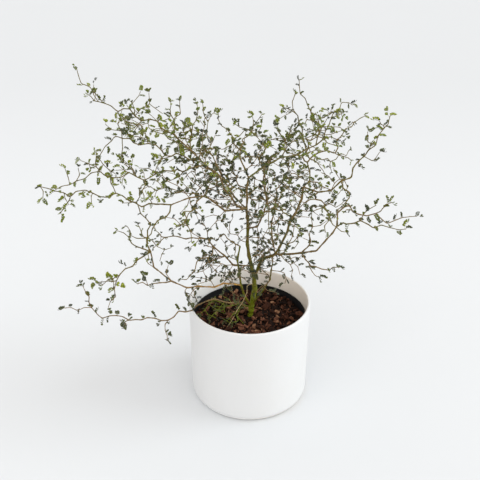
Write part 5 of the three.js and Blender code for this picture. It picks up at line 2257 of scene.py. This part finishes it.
@dataclass
class BarkSoil:
    """The potting bark that fills the nursery pot, with loose chips on top."""

    top: float = 98.2 * MM
    mound: float = 1.5 * MM
    edge: float = 62.4 * MM
    base: float = 8.0 * MM
    base_radius: float = 46.0 * MM
    rings: int = 26
    facets: int = 96
    relief_scale: float = 150
    chip_forms: int = 9
    chip_points: int = 13
    chip_halves: Triple = (0.5, 0.3, 0.17)
    chip_core: float = 0.35
    chip_cover: float = 0.9
    finish: PottingBark = field(default_factory=PottingBark)

    def bed(self) -> Mesh:
        """Build the closed body of soil, its top rising a little to the trunk."""
        profile = [(0, self.base), (self.base_radius, self.base)]
        profile += stations(profile[-1], (self.edge, self.top), 6)
        for ring in range(self.rings + 1):
            share = 1 - ring / self.rings
            profile.append((self.edge * share, self.top + self.mound * (1 - share * share)))
        return turned("soil_bed", profile, self.facets)

    def chip(self, number: int) -> Mesh:
        """Build one chip, a broken flake about a unit long.

        Args:
            number: The chip's number, which its shape follows.

        Returns:
            The chip's mesh.
        """
        bm = bmesh.new()
        for i in range(self.chip_points):
            corner = [2 * chance(number, i, axis) - 1 for axis in range(3)]
            stretch = max(*map(abs, corner), self.chip_core)
            bm.verts.new([half * part / stretch for half, part in zip(self.chip_halves, corner)])
        bmesh.ops.convex_hull(bm, input=bm.verts)
        spare = [vert for vert in bm.verts if not vert.link_faces]
        bmesh.ops.delete(bm, geom=spare, context="VERTS")
        bmesh.ops.recalc_face_normals(bm, faces=bm.faces)
        return baked(bm, f"chip_{number}")

    def tree(self) -> NodeTree:
        """Build the tree that roughens the bed and scatters three sizes of chip over it."""
        graph = Growth("bark_mulch", {
            "Chips": "Collection",
            "Reach": 0.0616,
            "Trunk Clearance": 0.006,
            "Roughness": 0.0045,
            "Bark": "Material",
            "Seed": 4,
        })
        chips = graph.members("Chips")
        seed = graph.given("Seed")
        away = graph.off_axis(graph.position)
        facing = graph.axis(graph.node("GeometryNodeInputNormal"), "Z") > 0.5
        rise = (graph.noise(graph.position, self.relief_scale, 4) - 0.5) * graph.given("Roughness") * facing
        bed = graph.moved(graph.given("Geometry"), graph.combined(0, 0, rise))
        inner = (away > graph.given("Trunk Clearance")) * (away < graph.given("Reach")) * facing

        def scattered(layer: ChipLayer) -> Socket:
            """Return one size of chip, spread over the bed."""
            def any_of(low: float, high: float, extra: int) -> Socket:
                """Return a random number between two."""
                return graph.random(low, high, seed + (layer.salt + extra))

            spacing = layer.spacing * MM
            low, high = layer.sizes
            points = graph.node("GeometryNodeDistributePointsOnFaces", {"distribute_method": "POISSON"}, {
                "Mesh": bed,
                "Selection": inner,
                "Distance Min": spacing,
                "Density Max": self.chip_cover / spacing ** 2,
                "Density Factor": 1.0,
                "Seed": seed + layer.salt,
            })
            turns = [any_of(-layer.tilt, layer.tilt, salt) for salt in (1, 2)] + [any_of(0, TURN, 3)]
            spread = graph.instances(
                Points=graph.moved(points, graph.combined(0, 0, layer.lift * MM)),
                Instance=chips,
                Pick_Instance=True,
                Instance_Index=any_of(0, self.chip_forms - 0.01, 4),
                Rotation=graph.rotation(*turns),
                Scale=any_of(low * MM, high * MM, 5),
            )
            return graph.stored(spread, "shade", any_of(0, 1, 6), "INSTANCE")

        whole = graph.joined(graph.smooth(bed), *map(scattered, CHIP_LAYERS))
        return graph.finish(graph.clothed(whole, graph.given("Bark")))

    def build(self) -> Object:
        """Fill the pot and scatter the chips."""
        chips = bpy.data.collections.new("bark_chips")
        for i in range(self.chip_forms):
            chips.objects.link(bpy.data.objects.new(f"chip_{i}", self.chip(i)))
        piece = grown("bark_soil", self.bed(), self.tree(), Chips=chips, Bark=self.finish.material())
        remove_collection(chips)
        return place_piece(piece, "soil", "soil")


def remove_collection(collection: Collection) -> None:
    """Delete a collection of shapes that nothing uses any longer.

    Args:
        collection: The collection.
    """
    for shape in list(collection.objects):
        bpy.data.objects.remove(shape)
    bpy.data.collections.remove(collection)


@dataclass
class Plant:
    """The sophora: its framework and its leafy sprays."""

    bark: StemBark = field(default_factory=StemBark)
    foliage: Foliage = field(default_factory=Foliage)

    def __post_init__(self) -> None:
        """Grow the whole plant by the rule of the solids, and then what is finer than they show."""
        thicket = Thicket()
        self.framework = Framework(thicket)
        self.sprays = [Spray(name, order, thicket) for order, name in enumerate(SPRAYS)]
        stages = (
            Spray.grow_main, Spray.grow_twigs, Spray.grow_leaves, Spray.add_kinks, Spray.grow_twiglets,
            Spray.meet_limb,
        )
        for stage in stages:
            for spray in self.sprays:
                stage(spray)
        self.limb_twigs = LimbTwigs(thicket)
        self.limb_twigs.grow(self.framework.shoots)
        owners = {spray.name: spray for spray in self.sprays}
        for order, (name, route) in enumerate(SPRIGS):
            places = [np.array(place, float) for place in route]
            if name in owners:
                places[0] = owners[name].nearest_joint(places[0])
            owners.get(name, self.limb_twigs).grow_sprig(order, places)
        owners["low_tuft"].grow_runners()

    def build(self) -> list[Object]:
        """Turn the grown plant into pieces, one for the framework and one for each spray."""
        forms = LeafPress().press()
        bark = self.bark.material()
        shared = {"Bark": bark, "Foliage": self.foliage.material(), "Leaf_Forms": forms}
        stems = grown(
            "stems", skeleton(self.framework), framework_tree(), Bark=bark, Sides=14, Lumps=0.85,
            Ring_Spacing=1.5 * MM, Waver=1.3 * MM, Rounding=2.5 * MM,
        )
        pieces = [place_piece(stems, "wood", "framework")]
        tree = spray_tree()
        twigs = grown("leafy_limb_twigs", skeleton(self.limb_twigs), tree, **shared)
        pieces.append(place_piece(twigs, "foliage"))
        for spray in self.sprays:
            piece = grown(f"leafy_{spray.name}", skeleton(spray), tree, **shared)
            pieces.append(place_piece(piece, "foliage", f"spray_{spray.name}"))
        remove_collection(forms)
        LOG.info("leaves: %d", sum(len(part.leaves) for part in (self.limb_twigs, *self.sprays)))
        return pieces


@dataclass(frozen=True)
class SoftLight:
    """A far, wide soft light: where it comes from and how wide it looks, in degrees, its power and colour.

    Its bearing is counted from +X towards +Y.
    """

    name: str
    bearing: float
    elevation: float
    spread: float
    power: float
    colour: Triple


@dataclass
class Studio:
    """A pale floor, painted darker towards the back and in wide clouds as painted light falloff, soft light
    from the right and the front, and the photograph's view.
    """

    floor_size: float = 14.0
    floor_colour: Triple = (0.65, 0.674, 0.7)
    floor_roughness: float = 0.75
    floor_shine: float = 0.1
    # Painted shade: how much darker the floor is painted towards the back, where it starts and ends along Y,
    # and how wide clouds vary it.
    painted_far_shade: float = 0.92
    painted_shade_from: float = 0.2
    painted_shade_to: float = 1.3
    cloud_scale: float = 1.5
    painted_shade_cloud_depth: float = 0.3
    lights: Sequence[SoftLight] = (
        SoftLight("key", 0, 25, 40, 1.42, (0.92, 0.98, 1.0)),
        SoftLight("fill", -98, 46, 80, 1.02, (1.0, 0.98, 0.95)),
    )
    sky: Triple = (1.0, 0.965, 0.93)
    sky_strength: float = 1.0
    distance: float = 0.85
    elevation: float = 28.76
    lens: float = 57.65
    sensor: float = 36
    aim: Triple = (-0.01106, 0.0, 0.2031)

    def lay_floor(self) -> None:
        half = self.floor_size / 2
        mesh = bpy.data.meshes.new("floor")
        corners = [(x * half, y * half, 0) for x, y in ((-1, -1), (1, -1), (1, 1), (-1, 1))]
        mesh.from_pydata(corners, [], [(0, 1, 2, 3)])
        floor = added("floor", mesh)
        graph = Shader("studio_floor")
        # Painted shade: the floor is painted darker towards the back and unevenly in wide clouds, in place of
        # light falling off.
        cloud = (graph.noise(graph.place, self.cloud_scale) - 0.5) * self.painted_shade_cloud_depth
        back = graph.eased(graph.axis(graph.place, "Y"), self.painted_shade_from, self.painted_shade_to)
        painted_shade_colour = tuple(self.painted_far_shade * part for part in self.floor_colour)
        colour = graph.mix(back + cloud, self.floor_colour, painted_shade_colour)
        floor.data.materials.append(graph.done(colour, self.floor_roughness, shine=self.floor_shine))

    @staticmethod
    def hang_light(light: SoftLight) -> None:
        """Hang one light.

        Args:
            light: What the light is like.
        """
        lamp = bpy.data.lights.new(light.name, "SUN")
        lamp.angle = math.radians(light.spread)
        lamp.energy = light.power
        lamp.color = light.colour
        bearing = Matrix.Rotation(math.radians(light.bearing), 4, "Z")
        tilt = Matrix.Rotation(math.radians(90 - light.elevation), 4, "Y")
        added(light.name, lamp).matrix_world = bearing @ tilt

    def set_sky(self) -> None:
        """Give the world an even light of its own."""
        world = bpy.data.worlds.new("sky")
        world.use_nodes = True
        sky = world.node_tree.nodes["Background"]
        sky.inputs["Color"].default_value = (*self.sky, 1.0)
        sky.inputs["Strength"].default_value = self.sky_strength
        bpy.context.scene.world = world

    def set_camera(self) -> None:
        """Set the camera at the photograph's view."""
        tilt = math.radians(self.elevation)
        camera = added("camera", bpy.data.cameras.new("camera"))
        camera.data.lens = self.lens
        camera.data.sensor_width = self.sensor
        back = Vector((0, -math.cos(tilt), math.sin(tilt)))
        camera.location = Vector(self.aim) + back * self.distance
        camera.rotation_euler = (math.pi / 2 - tilt, 0, 0)
        bpy.context.scene.camera = camera

    def build(self) -> None:
        """Set up the whole studio."""
        self.lay_floor()
        for light in self.lights:
            self.hang_light(light)
        self.set_sky()
        self.set_camera()
        bpy.context.scene.view_settings.view_transform = "Standard"


def main() -> None:
    """Build the studio and every piece in order."""
    logging.basicConfig(level=logging.INFO, format="%(message)s")
    Studio().build()
    CoverPot().build()
    NurseryPot().build()
    BarkSoil().build()
    Plant().build()


if __name__ == "__main__":
    main()
